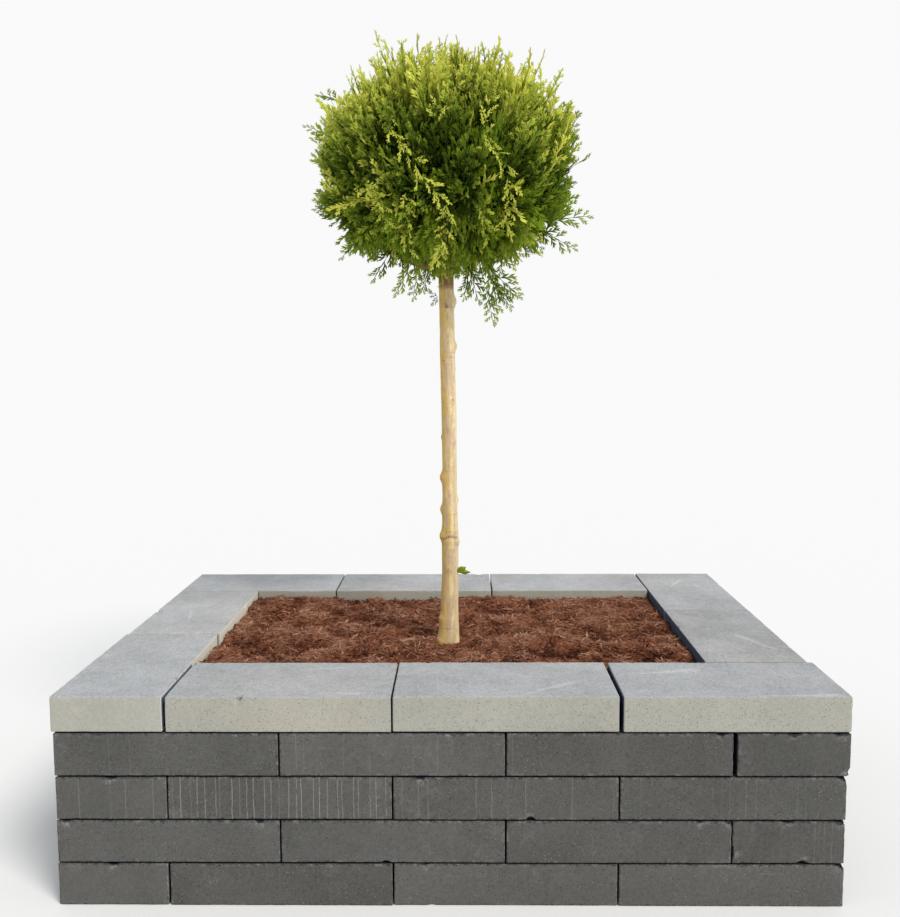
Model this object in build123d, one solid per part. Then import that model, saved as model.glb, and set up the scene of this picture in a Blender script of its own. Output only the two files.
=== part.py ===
"""Raised street planter: a hollow rectangle of stacked concrete blocks under a paler coping,
filled with gravel, soil and mulch and planted with a clipped evergreen on a bare stem.

Millimetres. The origin is on the ground under the middle of the planter, +X runs along the
long front, +Y runs from the front to the back and +Z is up.
"""
import math
import os

from build123d import *

# ---- Blocks -------------------------------------------------------------------------------
block_length = 596.0
block_width = 296.0
wall_block_height = 116.0
coping_block_height = 96.0
block_arris = 2.0  # small chamfer on every edge of a block

# ---- How the blocks are laid --------------------------------------------------------------
blocks_along_front = 3  # full blocks in the front and in the back of each course
blocks_along_side = 2  # full blocks in the left and in the right side of each course
wall_courses = 4
head_joint = 4.0  # open gap between the ends of two neighbours in one course
bed_joint = 4.0  # gap between two courses, held open by the adhesive
laying_scatter = 1.2  # a block may stand this far in or out of the wall's true face
coping_right_skew = 0.45  # degrees: the right side of the coping turns in towards the front
# Blocks that were laid off their true place, by this much along X.
laying_shifts = {"coping_left_1": -5.0, "coping_front_3": 7.0, "course_4_right_1": 6.0}

# ---- Adhesive between the courses ---------------------------------------------------------
adhesive_bead_width = 22.0
adhesive_bead_setback = 16.0  # from the true face of the wall, outside and inside

# ---- Filling ------------------------------------------------------------------------------
liner_thickness = 2.0
liner_clearance = 0.3  # between the liner and the block that stands furthest in
gravel_depth = 80.0
mulch_thickness = 72.0
mulch_edge_gap = 2.0  # between the mulch and the coping block that stands furthest in

# ---- Tree ---------------------------------------------------------------------------------
stem_from_middle = (-12.0, -120.0)  # the tree stands a little in front of the middle
stem_foot_radius = 34.0
stem_top_radius = 24.0
stem_length = 1390.0
stem_depth_in_ball = 90.0
root_ball_top_radius = 210.0
root_ball_foot_radius = 165.0
root_ball_height = 300.0
crown_foot_radius = 240.0
crown_widest_radius = 440.0
crown_widest_height = 340.0  # above the crown's foot
crown_top_radius = 150.0
crown_height = 752.0
crown_foot_above_coping = 1122.0

# ---- Sizes that follow --------------------------------------------------------------------
planter_length = block_width + blocks_along_front * (block_length + head_joint)
planter_width = block_width + blocks_along_side * (block_length + head_joint)
wall_course_rise = wall_block_height + bed_joint
coping_bottom = wall_courses * wall_course_rise
wall_top = coping_bottom - bed_joint
planter_height = coping_bottom + coping_block_height
cavity_length = planter_length - 2 * block_width
cavity_width = planter_width - 2 * block_width

liner_length = cavity_length - 2 * (laying_scatter + liner_clearance)
liner_width = cavity_width - 2 * (laying_scatter + liner_clearance)
fill_length = liner_length - 2 * liner_thickness
fill_width = liner_width - 2 * liner_thickness
skew_inset = cavity_width * math.sin(math.radians(coping_right_skew))
mulch_length = cavity_length - 2 * (laying_scatter + skew_inset + mulch_edge_gap)
mulch_width = cavity_width - 2 * (laying_scatter + mulch_edge_gap)

stem_foot = wall_top - stem_depth_in_ball
crown_foot = planter_height + crown_foot_above_coping
stem_axis = Location((*stem_from_middle, 0))

UP = (Align.CENTER, Align.CENTER, Align.MIN)


def concrete_block(height):
    """One block lying along X, on its bed face, with every edge chamfered."""
    body = Box(block_length, block_width, height, align=UP)
    return chamfer(body.edges(), block_arris)


def course_places(mirrored):
    """Names and places of the blocks of one course, as (side, number, x, y, turned, outward).

    The blocks run round the planter like a pinwheel: the left side starts at the front face and
    stops short of the back, the back starts at the left face, and so on. A mirrored course is
    the same seen in a mirror, so its end faces show at the other end of the front.
    """
    step = block_length + head_joint
    first = block_length / 2
    after_end = block_width + head_joint + first
    half_length = planter_length / 2
    half_width = planter_width / 2
    front_y = -half_width + block_width / 2
    side_x = half_length - block_width / 2
    flip = -1 if mirrored else 1
    places = []
    for n in range(blocks_along_front):
        front_x = flip * (-half_length + after_end + n * step)
        back_x = flip * (-half_length + first + n * step)
        places.append(("front", front_x, front_y, False, (0, -1)))
        places.append(("back", back_x, -front_y, False, (0, 1)))
    for n in range(blocks_along_side):
        near_y = -half_width + first + n * step
        far_y = -half_width + after_end + n * step
        places.append(("left" if not mirrored else "right", -flip * side_x, near_y, True, (-flip, 0)))
        places.append(("right" if not mirrored else "left", flip * side_x, far_y, True, (flip, 0)))
    return places


def number_along(places):
    """Numbers each side's blocks from the left or from the front, starting at 1."""
    numbered = []
    for side in ("front", "right", "back", "left"):
        of_side = [place for place in places if place[0] == side]
        of_side.sort(key=lambda place: (place[1], place[2]))
        for number, place in enumerate(of_side, start=1):
            numbered.append((f"{side}_{number}", *place))
    return numbered


def lay_course(block, course, bottom, prefix):
    """Places one course of blocks and returns {node name: solid}.

    Every second course is mirrored, counted down from the coping, so no two joints line up.
    """
    laid = {}
    mirrored = (wall_courses - course) % 2 == 0
    for index, place in enumerate(number_along(course_places(mirrored))):
        name, side, x, y, turned, (out_x, out_y) = place
        node = f"{prefix}_{name}"
        out = laying_scatter * math.sin(2.4 * index + 1.7 * course)
        x += out * out_x + laying_shifts.get(node, 0)
        y += out * out_y
        laid[node] = Location((x, y, bottom), (0, 0, 90 if turned else 0)) * block
    return laid


def lay_coping():
    """Places the coping, whose right side is skewed.

    The skewed side turns about the inner corner it has with the back, and then moves back just
    far enough to keep the head joint that it has with the front.
    """
    laid = lay_course(concrete_block(coping_block_height), wall_courses + 1, coping_bottom, "coping")
    corner = Location((cavity_length / 2, cavity_width / 2, 0))
    lean = block_width * math.sin(math.radians(coping_right_skew))
    skewed = Pos(0, lean, 0) * corner * Rot(0, 0, -coping_right_skew) * corner.inverse()
    for number in range(1, blocks_along_side + 1):
        name = f"coping_right_{number}"
        laid[name] = skewed * laid[name]
    return laid


def rectangular_ring(length, width, wall, bottom, height):
    """An upright sleeve with a rectangular outline and walls of one thickness."""
    outside = Box(length, width, height, align=UP)
    inside = Box(length - 2 * wall, width - 2 * wall, height, align=UP)
    return Pos(0, 0, bottom) * (outside - inside)


def bed_adhesive():
    """Two beads of adhesive under each course but the first, one near each face of the wall."""
    beads = []
    outer_length = planter_length - 2 * adhesive_bead_setback
    outer_width = planter_width - 2 * adhesive_bead_setback
    inner_length = cavity_length + 2 * (adhesive_bead_setback + adhesive_bead_width)
    inner_width = cavity_width + 2 * (adhesive_bead_setback + adhesive_bead_width)
    for course in range(1, wall_courses + 1):
        bottom = course * wall_course_rise - bed_joint
        for length, width in ((outer_length, outer_width), (inner_length, inner_width)):
            beads.append(rectangular_ring(length, width, adhesive_bead_width, bottom, bed_joint))
    return Compound(beads)


def tree_stem():
    """A straight stem that tapers evenly from its foot in the root ball to its top."""
    stem = Cone(stem_foot_radius, stem_top_radius, stem_length, align=UP)
    return stem_axis * Pos(0, 0, stem_foot) * stem


def root_ball_blank():
    """The root ball as it came out of its pot, before the stem is taken out of it."""
    ball = Cone(root_ball_foot_radius, root_ball_top_radius, root_ball_height, align=UP)
    return stem_axis * Pos(0, 0, wall_top - root_ball_height) * ball


def tree_crown(stem):
    """The outer shape of the clipped foliage, turned about the stem's axis.

    Two arcs meet upright at the widest ring: one runs in to the flat foot, the other to the top.
    """
    widest = (crown_widest_radius, crown_widest_height)
    lower = TangentArc(widest, (crown_foot_radius, 0), tangent=(0, -1))
    upper = TangentArc(widest, (crown_top_radius, crown_height), tangent=(0, 1))
    axis = Polyline(lower @ 1, (0, 0), (0, crown_height), upper @ 1)
    shape = revolve(Plane.XZ * make_face([lower, upper, axis]), Axis.Z)
    return stem_axis * Pos(0, 0, crown_foot) * shape - stem


def filled_box(length, width, bottom, height):
    """A layer of loose filling."""
    return Pos(0, 0, bottom) * Box(length, width, height, align=UP)


def build():
    """Returns {node name: shape} for the whole planter."""
    nodes = {}
    wall_block = concrete_block(wall_block_height)
    for course in range(1, wall_courses + 1):
        bottom = (course - 1) * wall_course_rise
        nodes.update(lay_course(wall_block, course, bottom, f"course_{course}"))
    nodes.update(lay_coping())
    nodes["bed_adhesive"] = bed_adhesive()

    stem = tree_stem()
    ball = root_ball_blank()
    nodes["liner"] = rectangular_ring(liner_length, liner_width, liner_thickness, 0, wall_top)
    nodes["drainage_gravel"] = filled_box(fill_length, fill_width, 0, gravel_depth)
    nodes["soil"] = filled_box(fill_length, fill_width, gravel_depth, wall_top - gravel_depth) - ball
    nodes["root_ball"] = ball - stem
    nodes["mulch"] = filled_box(mulch_length, mulch_width, wall_top, mulch_thickness) - stem
    nodes["tree_stem"] = stem
    nodes["tree_crown"] = tree_crown(stem)
    return nodes


def main():
    os.makedirs("parts", exist_ok=True)
    for name, shape in build().items():
        export_step(shape, f"parts/{name}.step")


main()
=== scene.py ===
"""Looks of the raised planter: weathered concrete blocks, bark mulch and a clipped evergreen.

Metres. Every piece stands in the planter's own frame: the origin is on the ground under the
middle of the planter, +X runs along the long front, +Y from front to back and +Z is up.
"""

import math

import bpy
import numpy as np
from bpy.props import FloatProperty, FloatVectorProperty, IntProperty, PointerProperty
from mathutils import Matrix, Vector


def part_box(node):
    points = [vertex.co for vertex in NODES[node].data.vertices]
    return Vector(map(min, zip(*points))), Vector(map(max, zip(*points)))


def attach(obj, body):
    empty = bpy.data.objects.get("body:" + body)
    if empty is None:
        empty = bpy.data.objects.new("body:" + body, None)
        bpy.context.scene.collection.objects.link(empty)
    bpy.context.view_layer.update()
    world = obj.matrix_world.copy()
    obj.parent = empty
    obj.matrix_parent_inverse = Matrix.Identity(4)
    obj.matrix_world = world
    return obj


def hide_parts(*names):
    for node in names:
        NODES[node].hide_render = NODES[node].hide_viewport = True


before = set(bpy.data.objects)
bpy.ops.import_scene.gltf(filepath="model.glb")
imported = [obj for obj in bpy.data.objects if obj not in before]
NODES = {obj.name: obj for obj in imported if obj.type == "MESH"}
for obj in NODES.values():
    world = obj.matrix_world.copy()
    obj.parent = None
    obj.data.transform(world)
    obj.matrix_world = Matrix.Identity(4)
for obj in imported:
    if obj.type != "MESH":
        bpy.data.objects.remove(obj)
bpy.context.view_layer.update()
WALL_BLOCKS = sorted(name for name in NODES if name.startswith("course_"))
COPING_BLOCKS = sorted(name for name in NODES if name.startswith("coping_"))
BODY = "root"
GOLDEN_ANGLE = math.pi * (3 - math.sqrt(5))

bl_info = {
    "name": "Raised planter",
    "version": (1, 0, 0),
    "blender": (4, 5, 0),
    "location": "View3D > Sidebar > Planter",
    "description": "Weathered concrete blocks, bark mulch and a clipped evergreen",
    "category": "Object",
}


# ---- Settings -----------------------------------------------------------------------------

def length(name, text, default, low=0.0, high=5.0):
    """A size in metres that a user may change."""
    return FloatProperty(name=name, description=text, default=default, min=low, max=high, unit="LENGTH")


def share(name, text, default, high=1.0):
    """A share, from nothing up to all or a little more."""
    return FloatProperty(name=name, description=text, default=default, min=0.0, max=high, subtype="FACTOR")


def colour(name, text, default):
    """A colour in scene-linear red, green and blue."""
    return FloatVectorProperty(name=name, description=text, default=default, size=3, min=0.0, max=1.0,
                               subtype="COLOR")


class ConcreteSettings(bpy.types.PropertyGroup):
    """Sizes and colours of the blocks."""

    arris: length("Arris", "Radius that handling has worn on a block's edges", 0.0028)
    ragged: length("Ragged edge", "How much further an edge crumbles here and there", 0.0040)
    chip_depth: length("Chip depth", "Depth of the deepest bites out of an edge", 0.0100)
    chip_reach: length("Chip reach", "How far along an edge a bite reaches to each side", 0.0160)
    wall_chips: IntProperty(name="Wall chips", description="Bites out of each wall block", default=4, min=0)
    coping_chips: IntProperty(name="Coping chips", description="Bites out of each coping block", default=3,
                              min=0)
    waviness: length("Waviness", "How far a cast face dips from flat", 0.0005)
    wall_colour: colour("Wall", "Anthracite concrete of the wall", (0.106, 0.104, 0.098))
    coping_colour: colour("Coping", "Pale concrete of the coping", (0.415, 0.405, 0.355))
    # Upper faces of the coping: partly the concrete's own colour and partly painted sky light, cooler than the front.
    coping_top_colour_with_skylight: colour("Coping top", "Washed upper faces of the coping", (0.452, 0.464, 0.482))
    bloom_colour: colour("Lime bloom", "Lime washed out of the concrete", (0.46, 0.45, 0.42))
    adhesive_colour: colour("Adhesive", "Landscape adhesive in the bed joints", (0.012, 0.012, 0.016))


class FillingSettings(bpy.types.PropertyGroup):
    """Sizes and colours of the mulch and of what lies under it."""

    mound: length("Mounds", "Height of the mulch's low mounds", 0.016)
    clump: length("Clumps", "Height of the mulch's clumps", 0.016)
    wall_gap: length("Wall gap", "Gap between the mulch and the coping", 0.0015)
    shreds: IntProperty(name="Shreds", description="Loose shreds of bark on the mulch", default=11000, min=0)
    shred_length: length("Shred length", "Length of a middling shred of bark", 0.0225)
    fibres: IntProperty(name="Fibres", description="Loose fibres of bark on the mulch", default=34000, min=0)
    fibre_length: length("Fibre length", "Length of a middling fibre of bark", 0.0145)
    # Dark bark, also used as painted shade in the hollows, the gaps between the shreds and along the walls.
    dark_bark_and_shade_colour: colour("Damp bark", "Bark in the hollows", (0.060, 0.016, 0.008))
    bark_colour: colour("Bark", "Red-brown bark", (0.290, 0.106, 0.055))
    pale_colour: colour("Dry fibre", "Dry inner fibre of the bark", (0.48, 0.265, 0.17))
    soil_colour: colour("Soil", "Planting soil", (0.050, 0.034, 0.022))
    gravel_colour: colour("Gravel", "Washed drainage gravel", (0.30, 0.28, 0.25))
    fleece_colour: colour("Fleece", "Needle-punched liner", (0.030, 0.031, 0.033))


class TreeSettings(bpy.types.PropertyGroup):
    """Sizes and colours of the evergreen."""

    foot_radius: length("Foot radius", "Radius of the stem where it leaves the mulch", 0.0315)
    neck_radius: length("Neck radius", "Radius of the stem under the crown", 0.0232)
    flare: length("Flare", "Height over which the foot runs out into the stem", 0.16)
    sway: length("Sway", "How far the stem bows to the side", 0.010)
    leaders: IntProperty(name="Leaders", description="Bunches that stand out of the crown's upper half",
                         default=34, min=0)
    tufts: IntProperty(name="Tufts", description="Tufts that gather the fronds", default=170, min=1)
    sprays: IntProperty(name="Sprays", description="Flat sprays outside on the crown", default=1500, min=1)
    plumes: IntProperty(name="Plumes", description="Upright plumes outside on the crown", default=1300, min=1)
    inner_fronds: IntProperty(name="Inner sprays", description="Shaded sprays further in", default=620, min=0)
    frond_length: length("Frond length", "Length of a middling frond", 0.150)
    limbs: IntProperty(name="Limbs", description="Branches that carry the fronds", default=13, min=1)
    bark_colour: colour("Bark", "Pale smooth bark", (0.96, 0.76, 0.43))
    yellow_colour: colour("Yellow bark", "Algae-tinted flank of the stem", (0.74, 0.49, 0.125))
    mauve_colour: colour("Grey bark", "Thin grey skin left on the bark", (0.66, 0.48, 0.32))
    red_colour: colour("Limb bark", "Red-brown bark of the limbs", (0.22, 0.085, 0.035))
    deep_colour: colour("Deep green", "Old scale leaves", (0.013, 0.030, 0.002))
    green_colour: colour("Green", "Mature scale leaves", (0.232, 0.348, 0.020))
    tip_colour: colour("Tip", "Fresh yellow-green tips", (0.790, 0.790, 0.120))


class StageSettings(bpy.types.PropertyGroup):
    """The floor, the light and the camera."""

    floor_colour: colour("Floor", "Plain pale floor", (0.965, 0.965, 0.965))
    floor_radius: length("Floor radius", "Radius of the round floor", 40.0, high=200.0)
    lens: FloatProperty(name="Lens", description="Focal length", default=38.13, min=1.0, unit="CAMERA")
    eye: FloatVectorProperty(name="Eye", description="Place of the camera", default=(0.037, -3.220, 1.445),
                             size=3, subtype="TRANSLATION")
    tilt: FloatProperty(name="Tilt", description="How far the camera looks down", default=math.radians(5.58),
                        subtype="ANGLE")
    turn: FloatProperty(name="Turn", description="How far the camera turns left", default=math.radians(0.69),
                        subtype="ANGLE")
    roll: FloatProperty(name="Roll", description="How far the camera rolls clockwise",
                        default=math.radians(0.24), subtype="ANGLE")
    key: share("Key light", "Brightness that the key light gives to the floor", 0.47, high=4.0)
    key_height: FloatProperty(name="Key height", description="Height of the key light over the horizon",
                              default=math.radians(46), subtype="ANGLE")
    key_side: FloatProperty(name="Key side", description="How far to the right of the front the key light is",
                            default=math.radians(40), subtype="ANGLE")
    key_size: FloatProperty(name="Key size", description="Width of the key light as seen from the planter",
                            default=math.radians(22), subtype="ANGLE")
    key_colour: colour("Key colour", "Colour of the key light", (1.0, 0.972, 0.92))
    sky: share("Sky", "Brightness of the even light from all round", 0.55, high=4.0)
    sky_colour: colour("Sky colour", "Colour of the even light", (0.93, 0.965, 1.0))


# ---- Number fields ------------------------------------------------------------------------

def lattice_noise(points, scale, seed):
    """Smooth noise from 0 to 1 at each point.

    A hash of the eight corners of the unit cell that holds the scaled point gives eight random
    values, which are blended with the weights 3t^2 - 2t^3 along each axis.
    """
    place = np.asarray(points, float) * scale
    cell = np.floor(place).astype(np.int64)
    t = place - cell
    t = t * t * (3 - 2 * t)
    total = np.zeros(len(place))
    for corner in np.ndindex(2, 2, 2):
        at = cell + np.array(corner)
        key = at[:, 0] * 73856093 ^ at[:, 1] * 19349663 ^ at[:, 2] * 83492791 ^ (seed * 2654435761)
        key = (key ^ (key >> 13)) * 1274126177 & 0x7FFFFFFF
        key = (key ^ (key >> 15)) * 1103515245 & 0x7FFFFFFF
        value = (key >> 7 & 0xFFFF) / 65535.0
        weight = np.prod(np.where(np.array(corner) == 1, t, 1 - t), axis=1)
        total += weight * value
    return total


def fractal_noise(points, scale, octaves, seed):
    """Sum of lattice noises, each twice as fine and half as strong as the last, from 0 to 1."""
    total = np.zeros(len(points))
    for octave in range(octaves):
        total += lattice_noise(points, scale * 2 ** octave, seed + octave) / 2 ** octave
    return total / (2 - 2 ** (1 - octaves))


def unit(vectors):
    """Each vector divided by its length."""
    return vectors / np.maximum(np.linalg.norm(vectors, axis=-1, keepdims=True), 1e-12)


def smooth_step(values, low, high):
    """0 below low, 1 above high and 3t^2 - 2t^3 between."""
    t = np.clip((values - low) / (high - low), 0, 1)
    return t * t * (3 - 2 * t)


# ---- Meshes -------------------------------------------------------------------------------

def make_piece(name, shape, material, replaced=(), smooth=True):
    """Puts whole arrays into a new mesh and lets the piece ride on the planter's body.

    shape is (vertices, faces, fields). faces is an array with one row of vertex numbers for each
    face. fields holds one value or one vector for each vertex, by attribute name.
    """
    vertices, faces, fields = shape
    mesh = bpy.data.meshes.new(name)
    sides = faces.shape[1]
    mesh.vertices.add(len(vertices))
    mesh.vertices.foreach_set("co", np.ascontiguousarray(vertices, np.float32).ravel())
    mesh.loops.add(faces.size)
    mesh.loops.foreach_set("vertex_index", np.ascontiguousarray(faces, np.int32).ravel())
    mesh.polygons.add(len(faces))
    mesh.polygons.foreach_set("loop_start", np.arange(0, faces.size, sides, dtype=np.int32))
    mesh.update(calc_edges=True)
    for field, values in fields.items():
        values = np.asarray(values, np.float32)
        if values.ndim == 1:
            mesh.attributes.new(field, "FLOAT", "POINT").data.foreach_set("value", values)
        else:
            store = mesh.attributes.new(field, "FLOAT_VECTOR", "POINT")
            store.data.foreach_set("vector", values.ravel())
    (mesh.shade_smooth if smooth else mesh.shade_flat)()
    mesh.materials.append(material)
    piece = bpy.data.objects.new(name, mesh)
    bpy.context.scene.collection.objects.link(piece)
    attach(piece, BODY)
    if replaced:
        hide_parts(*replaced)
    return piece


def edge_lines(half, spacing, near):
    """Grid places from -half to half: close rows beside both ends and even rows between."""
    inner = half - near[-1]
    middle = np.linspace(-inner, inner, max(1, round(2 * inner / spacing)) + 1)
    beside = half - np.array(near[:-1])
    return np.concatenate([-beside, middle, beside[::-1]])


def box_grid(xs, ys, zs):
    """The six sides of a box as one closed mesh of quads, from its grid places on each axis.

    Each side is a function of two of the three axes, and the points that neighbouring sides
    share are merged.
    """
    lines = (xs, ys, zs)
    points, quads, count = [], [], 0
    for axis in range(3):
        u, v = (axis + 1) % 3, (axis + 2) % 3
        across, along = np.meshgrid(lines[u], lines[v], indexing="ij")
        index = np.arange(across.size).reshape(across.shape)
        ring = [index[:-1, :-1], index[1:, :-1], index[1:, 1:], index[:-1, 1:]]
        for end in (0, -1):
            side = np.empty((across.size, 3))
            side[:, u], side[:, v], side[:, axis] = across.ravel(), along.ravel(), lines[axis][end]
            order = ring if end == -1 else ring[::-1]
            quads.append(np.stack([corner.ravel() for corner in order], axis=1) + count)
            points.append(side)
            count += across.size
    points = np.concatenate(points)
    keys = np.round(points * 1e6).astype(np.int64)
    _, first, merged = np.unique(keys, axis=0, return_index=True, return_inverse=True)
    return points[first], merged.ravel()[np.concatenate(quads)]


def tube(path, radii, sides, turn_shape=None):
    """A closed tube: circles carried along a path, with a pole point at each end.

    At each path point the circle lies across the path, radius r at angle a, optionally scaled
    by turn_shape, one factor for each path point and angle.
    """
    path = np.asarray(path, float)
    forward = unit(np.gradient(path, axis=0))
    helper = np.where(np.abs(forward[:, 2:3]) > 0.9, [[0.0, 1.0, 0.0]], [[0.0, 0.0, 1.0]])
    side = unit(np.cross(helper[len(path) // 2], forward))
    lift = np.cross(forward, side)
    angle = np.arange(sides) * math.tau / sides
    reach = np.broadcast_to(np.asarray(radii, float)[:, None], (len(path), sides))
    if turn_shape is not None:
        reach = reach * turn_shape
    ring = (side[:, None] * np.cos(angle)[None, :, None] + lift[:, None] * np.sin(angle)[None, :, None])
    points = path[:, None] + ring * reach[..., None]
    index = np.arange(len(path) * sides).reshape(len(path), sides)
    after = np.roll(index, -1, axis=1)
    quads = np.stack([index[:-1], after[:-1], after[1:], index[1:]], axis=-1).reshape(-1, 4)
    start, end = index.size, index.size + 1
    foot = np.stack([after[0], index[0], np.full(sides, start), np.full(sides, start)], axis=-1)
    head = np.stack([index[-1], after[-1], np.full(sides, end), np.full(sides, end)], axis=-1)
    triangles = np.concatenate([quads[:, [0, 1, 2]], quads[:, [0, 2, 3]], foot[:, :3], head[:, :3]])
    return np.concatenate([points.reshape(-1, 3), path[:1], path[-1:]]), triangles


def tetra(base, tip, wide, low):
    """A sliver with four corners: its ridge runs from base to tip and its keel lies across."""
    base, tip = np.array(base, float), np.array(tip, float)
    along = unit(tip - base)
    across = np.array([along[1], -along[0], 0.0]) * wide / 2
    middle = base + (tip - base) * 0.58 + np.array([0.0, 0.0, -low])
    return np.array([base, tip, middle + across, middle - across])


TETRA_FACES = np.array([[0, 1, 2], [1, 0, 3], [0, 2, 3], [1, 3, 2]])


def repeated(faces, copies, corners):
    """The faces of many copies of one shape, which has that many corners."""
    return (faces[None] + (np.arange(copies) * corners)[:, None, None]).reshape(-1, 3)


def join(parts):
    """Several (vertices, faces) pairs as one."""
    vertices = np.concatenate([part[0] for part in parts])
    shift = np.cumsum([0] + [len(part[0]) for part in parts[:-1]])
    faces = np.concatenate([part[1] + start for part, start in zip(parts, shift)])
    return vertices, faces


# ---- Materials ----------------------------------------------------------------------------

class Finish:
    """Builds one node material around a Principled shader."""

    def __init__(self, name, roughness=0.8, specular=0.4):
        self.material = bpy.data.materials.new(name)
        self.material.use_nodes = True
        self.tree = self.material.node_tree
        self.shader = self.tree.nodes["Principled BSDF"]
        self.shader.inputs["Roughness"].default_value = roughness
        self.shader.inputs["Specular IOR Level"].default_value = specular
        self.place = self.node("ShaderNodeTexCoord").outputs["Object"]

    def node(self, kind, **values):
        made = self.tree.nodes.new(kind)
        for key, value in values.items():
            setattr(made, key, value)
        return made

    def feed(self, socket, value):
        """Links another node's output to a socket, or sets the socket's own value."""
        if isinstance(value, bpy.types.NodeSocket):
            self.tree.links.new(value, socket)
        elif hasattr(value, "__len__"):
            value = tuple(value)
            socket.default_value = value if len(socket.default_value) == len(value) else (*value, 1.0)
        else:
            socket.default_value = value

    def field(self, name, vector=False):
        """A value that the mesh carries at each vertex."""
        made = self.node("ShaderNodeAttribute", attribute_name=name)
        return made.outputs["Vector" if vector else "Fac"]

    def split(self, value, kind="XYZ"):
        """The three parts of a vector, or of a colour."""
        made = self.node(f"ShaderNodeSeparate{kind}")
        self.feed(made.inputs[0], value)
        return tuple(made.outputs)

    def math(self, operation, *values, clamp=False):
        made = self.node("ShaderNodeMath", operation=operation, use_clamp=clamp)
        for socket, value in zip(made.inputs, values):
            self.feed(socket, value)
        return made.outputs[0]

    def add(self, first, second, clamp=False):
        return self.math("ADD", first, second, clamp=clamp)

    def less(self, first, second, clamp=False):
        """The first value minus the second."""
        return self.math("SUBTRACT", first, second, clamp=clamp)

    def times(self, first, *others):
        """The product of all values."""
        for other in others:
            first = self.math("MULTIPLY", first, other)
        return first

    def most(self, first, second):
        """The larger of two values."""
        return self.math("MAXIMUM", first, second)

    def line(self, value, slope, start):
        """The value times a slope, plus a start."""
        return self.add(self.times(value, slope), start)

    def total(self, first, *others):
        """The sum of several values, each times its weight, from (value, weight) pairs."""
        result = self.times(*first)
        for value, weight in others:
            result = self.add(result, self.times(value, weight))
        return result

    def stretch(self, vector, scale=(1, 1, 1), turn=(0, 0, 0), shift=(0, 0, 0)):
        made = self.node("ShaderNodeMapping")
        self.feed(made.inputs["Vector"], vector)
        for socket, value in (("Location", shift), ("Rotation", turn), ("Scale", scale)):
            self.feed(made.inputs[socket], value)
        return made.outputs[0]

    def noise(self, scale, detail=3.0, roughness=0.55, vector=None, distortion=0.0):
        made = self.node("ShaderNodeTexNoise")
        self.feed(made.inputs["Vector"], vector or self.place)
        for socket, value in (("Scale", scale), ("Detail", detail), ("Roughness", roughness),
                              ("Distortion", distortion)):
            self.feed(made.inputs[socket], value)
        return made.outputs["Fac"]

    def streaks(self, scale, detail=3.0, roughness=0.55, distortion=0.0, **place):
        """Noise with a scale of its own along each axis."""
        return self.noise(1.0, detail, roughness, self.stretch(self.place, scale, **place), distortion)

    def cells(self, scale, vector=None):
        """Distance to the nearest cell centre, and a random value for that cell."""
        made = self.node("ShaderNodeTexVoronoi")
        self.feed(made.inputs["Vector"], vector or self.place)
        self.feed(made.inputs["Scale"], scale)
        return made.outputs["Distance"], self.split(made.outputs["Color"], "Color")[0]

    def dots(self, scale, edge, kinds, vector=None):
        """Round dots in the cells whose random value is past kinds: edge holds their rim's distances."""
        gap, kind = self.cells(scale, vector)
        return self.times(self.band(gap, *edge), self.band(kind, *kinds))

    def band(self, value, low, high):
        """0 below low and 1 above high, or the other way round where low is the larger."""
        made = self.node("ShaderNodeMapRange", interpolation_type="SMOOTHSTEP")
        rising = low < high
        for socket, part in zip(made.inputs, (value, min(low, high), max(low, high), 1 - rising, rising)):
            self.feed(socket, part)
        return made.outputs[0]

    def mix(self, factor, first, second, mode="MIX"):
        made = self.node("ShaderNodeMix", data_type="RGBA", blend_type=mode)
        for socket, value in ((made.inputs[0], factor), (made.inputs[6], first), (made.inputs[7], second)):
            self.feed(socket, value)
        return made.outputs[2]

    def scaled(self, tint, factor):
        """A colour made darker or lighter by a factor."""
        made = self.node("ShaderNodeVectorMath", operation="SCALE")
        self.feed(made.inputs[0], tint)
        self.feed(made.inputs["Scale"], factor)
        return made.outputs[0]

    def bump(self, *layers):
        """Height layers as (height, depth in metres), finest last."""
        normal = None
        for height, depth in layers:
            made = self.node("ShaderNodeBump")
            for socket, value in (("Strength", 1.0), ("Distance", depth), ("Height", height)):
                self.feed(made.inputs[socket], value)
            if normal is not None:
                self.feed(made.inputs["Normal"], normal)
            normal = made.outputs[0]
        self.feed(self.shader.inputs["Normal"], normal)

    def done(self, tint, rough=None):
        self.feed(self.shader.inputs["Base Color"], tint)
        if rough is not None:
            self.feed(self.shader.inputs["Roughness"], rough)
        return self.material


def stroke(f, x, y, turn, long, wide):
    """A soft rubbed wedge on an upper face: its middle, its turn about Z, its length and its width."""
    along, across, _ = f.split(f.stretch(f.stretch(f.place, shift=(-x, -y, 0.0)), turn=(0, 0, -turn)))
    ragged = f.times(f.less(f.noise(90.0, detail=4), 0.5), wide * 1.2)
    beside = f.math("ABSOLUTE", f.add(across, ragged))
    swell = f.line(along, 1.4 / long, 0.8)
    share_across = f.math("DIVIDE", beside, f.times(f.most(swell, 0.15), wide))
    ends = f.band(f.math("ABSOLUTE", along), long * 0.52, long * 0.40)
    grains = f.band(f.noise(210.0, detail=3, roughness=0.7), 0.34, 0.56)
    return f.times(f.band(share_across, 1.0, 0.30), ends, grains)


LIME_STRIPS_PER_METRE = 46.0


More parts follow.
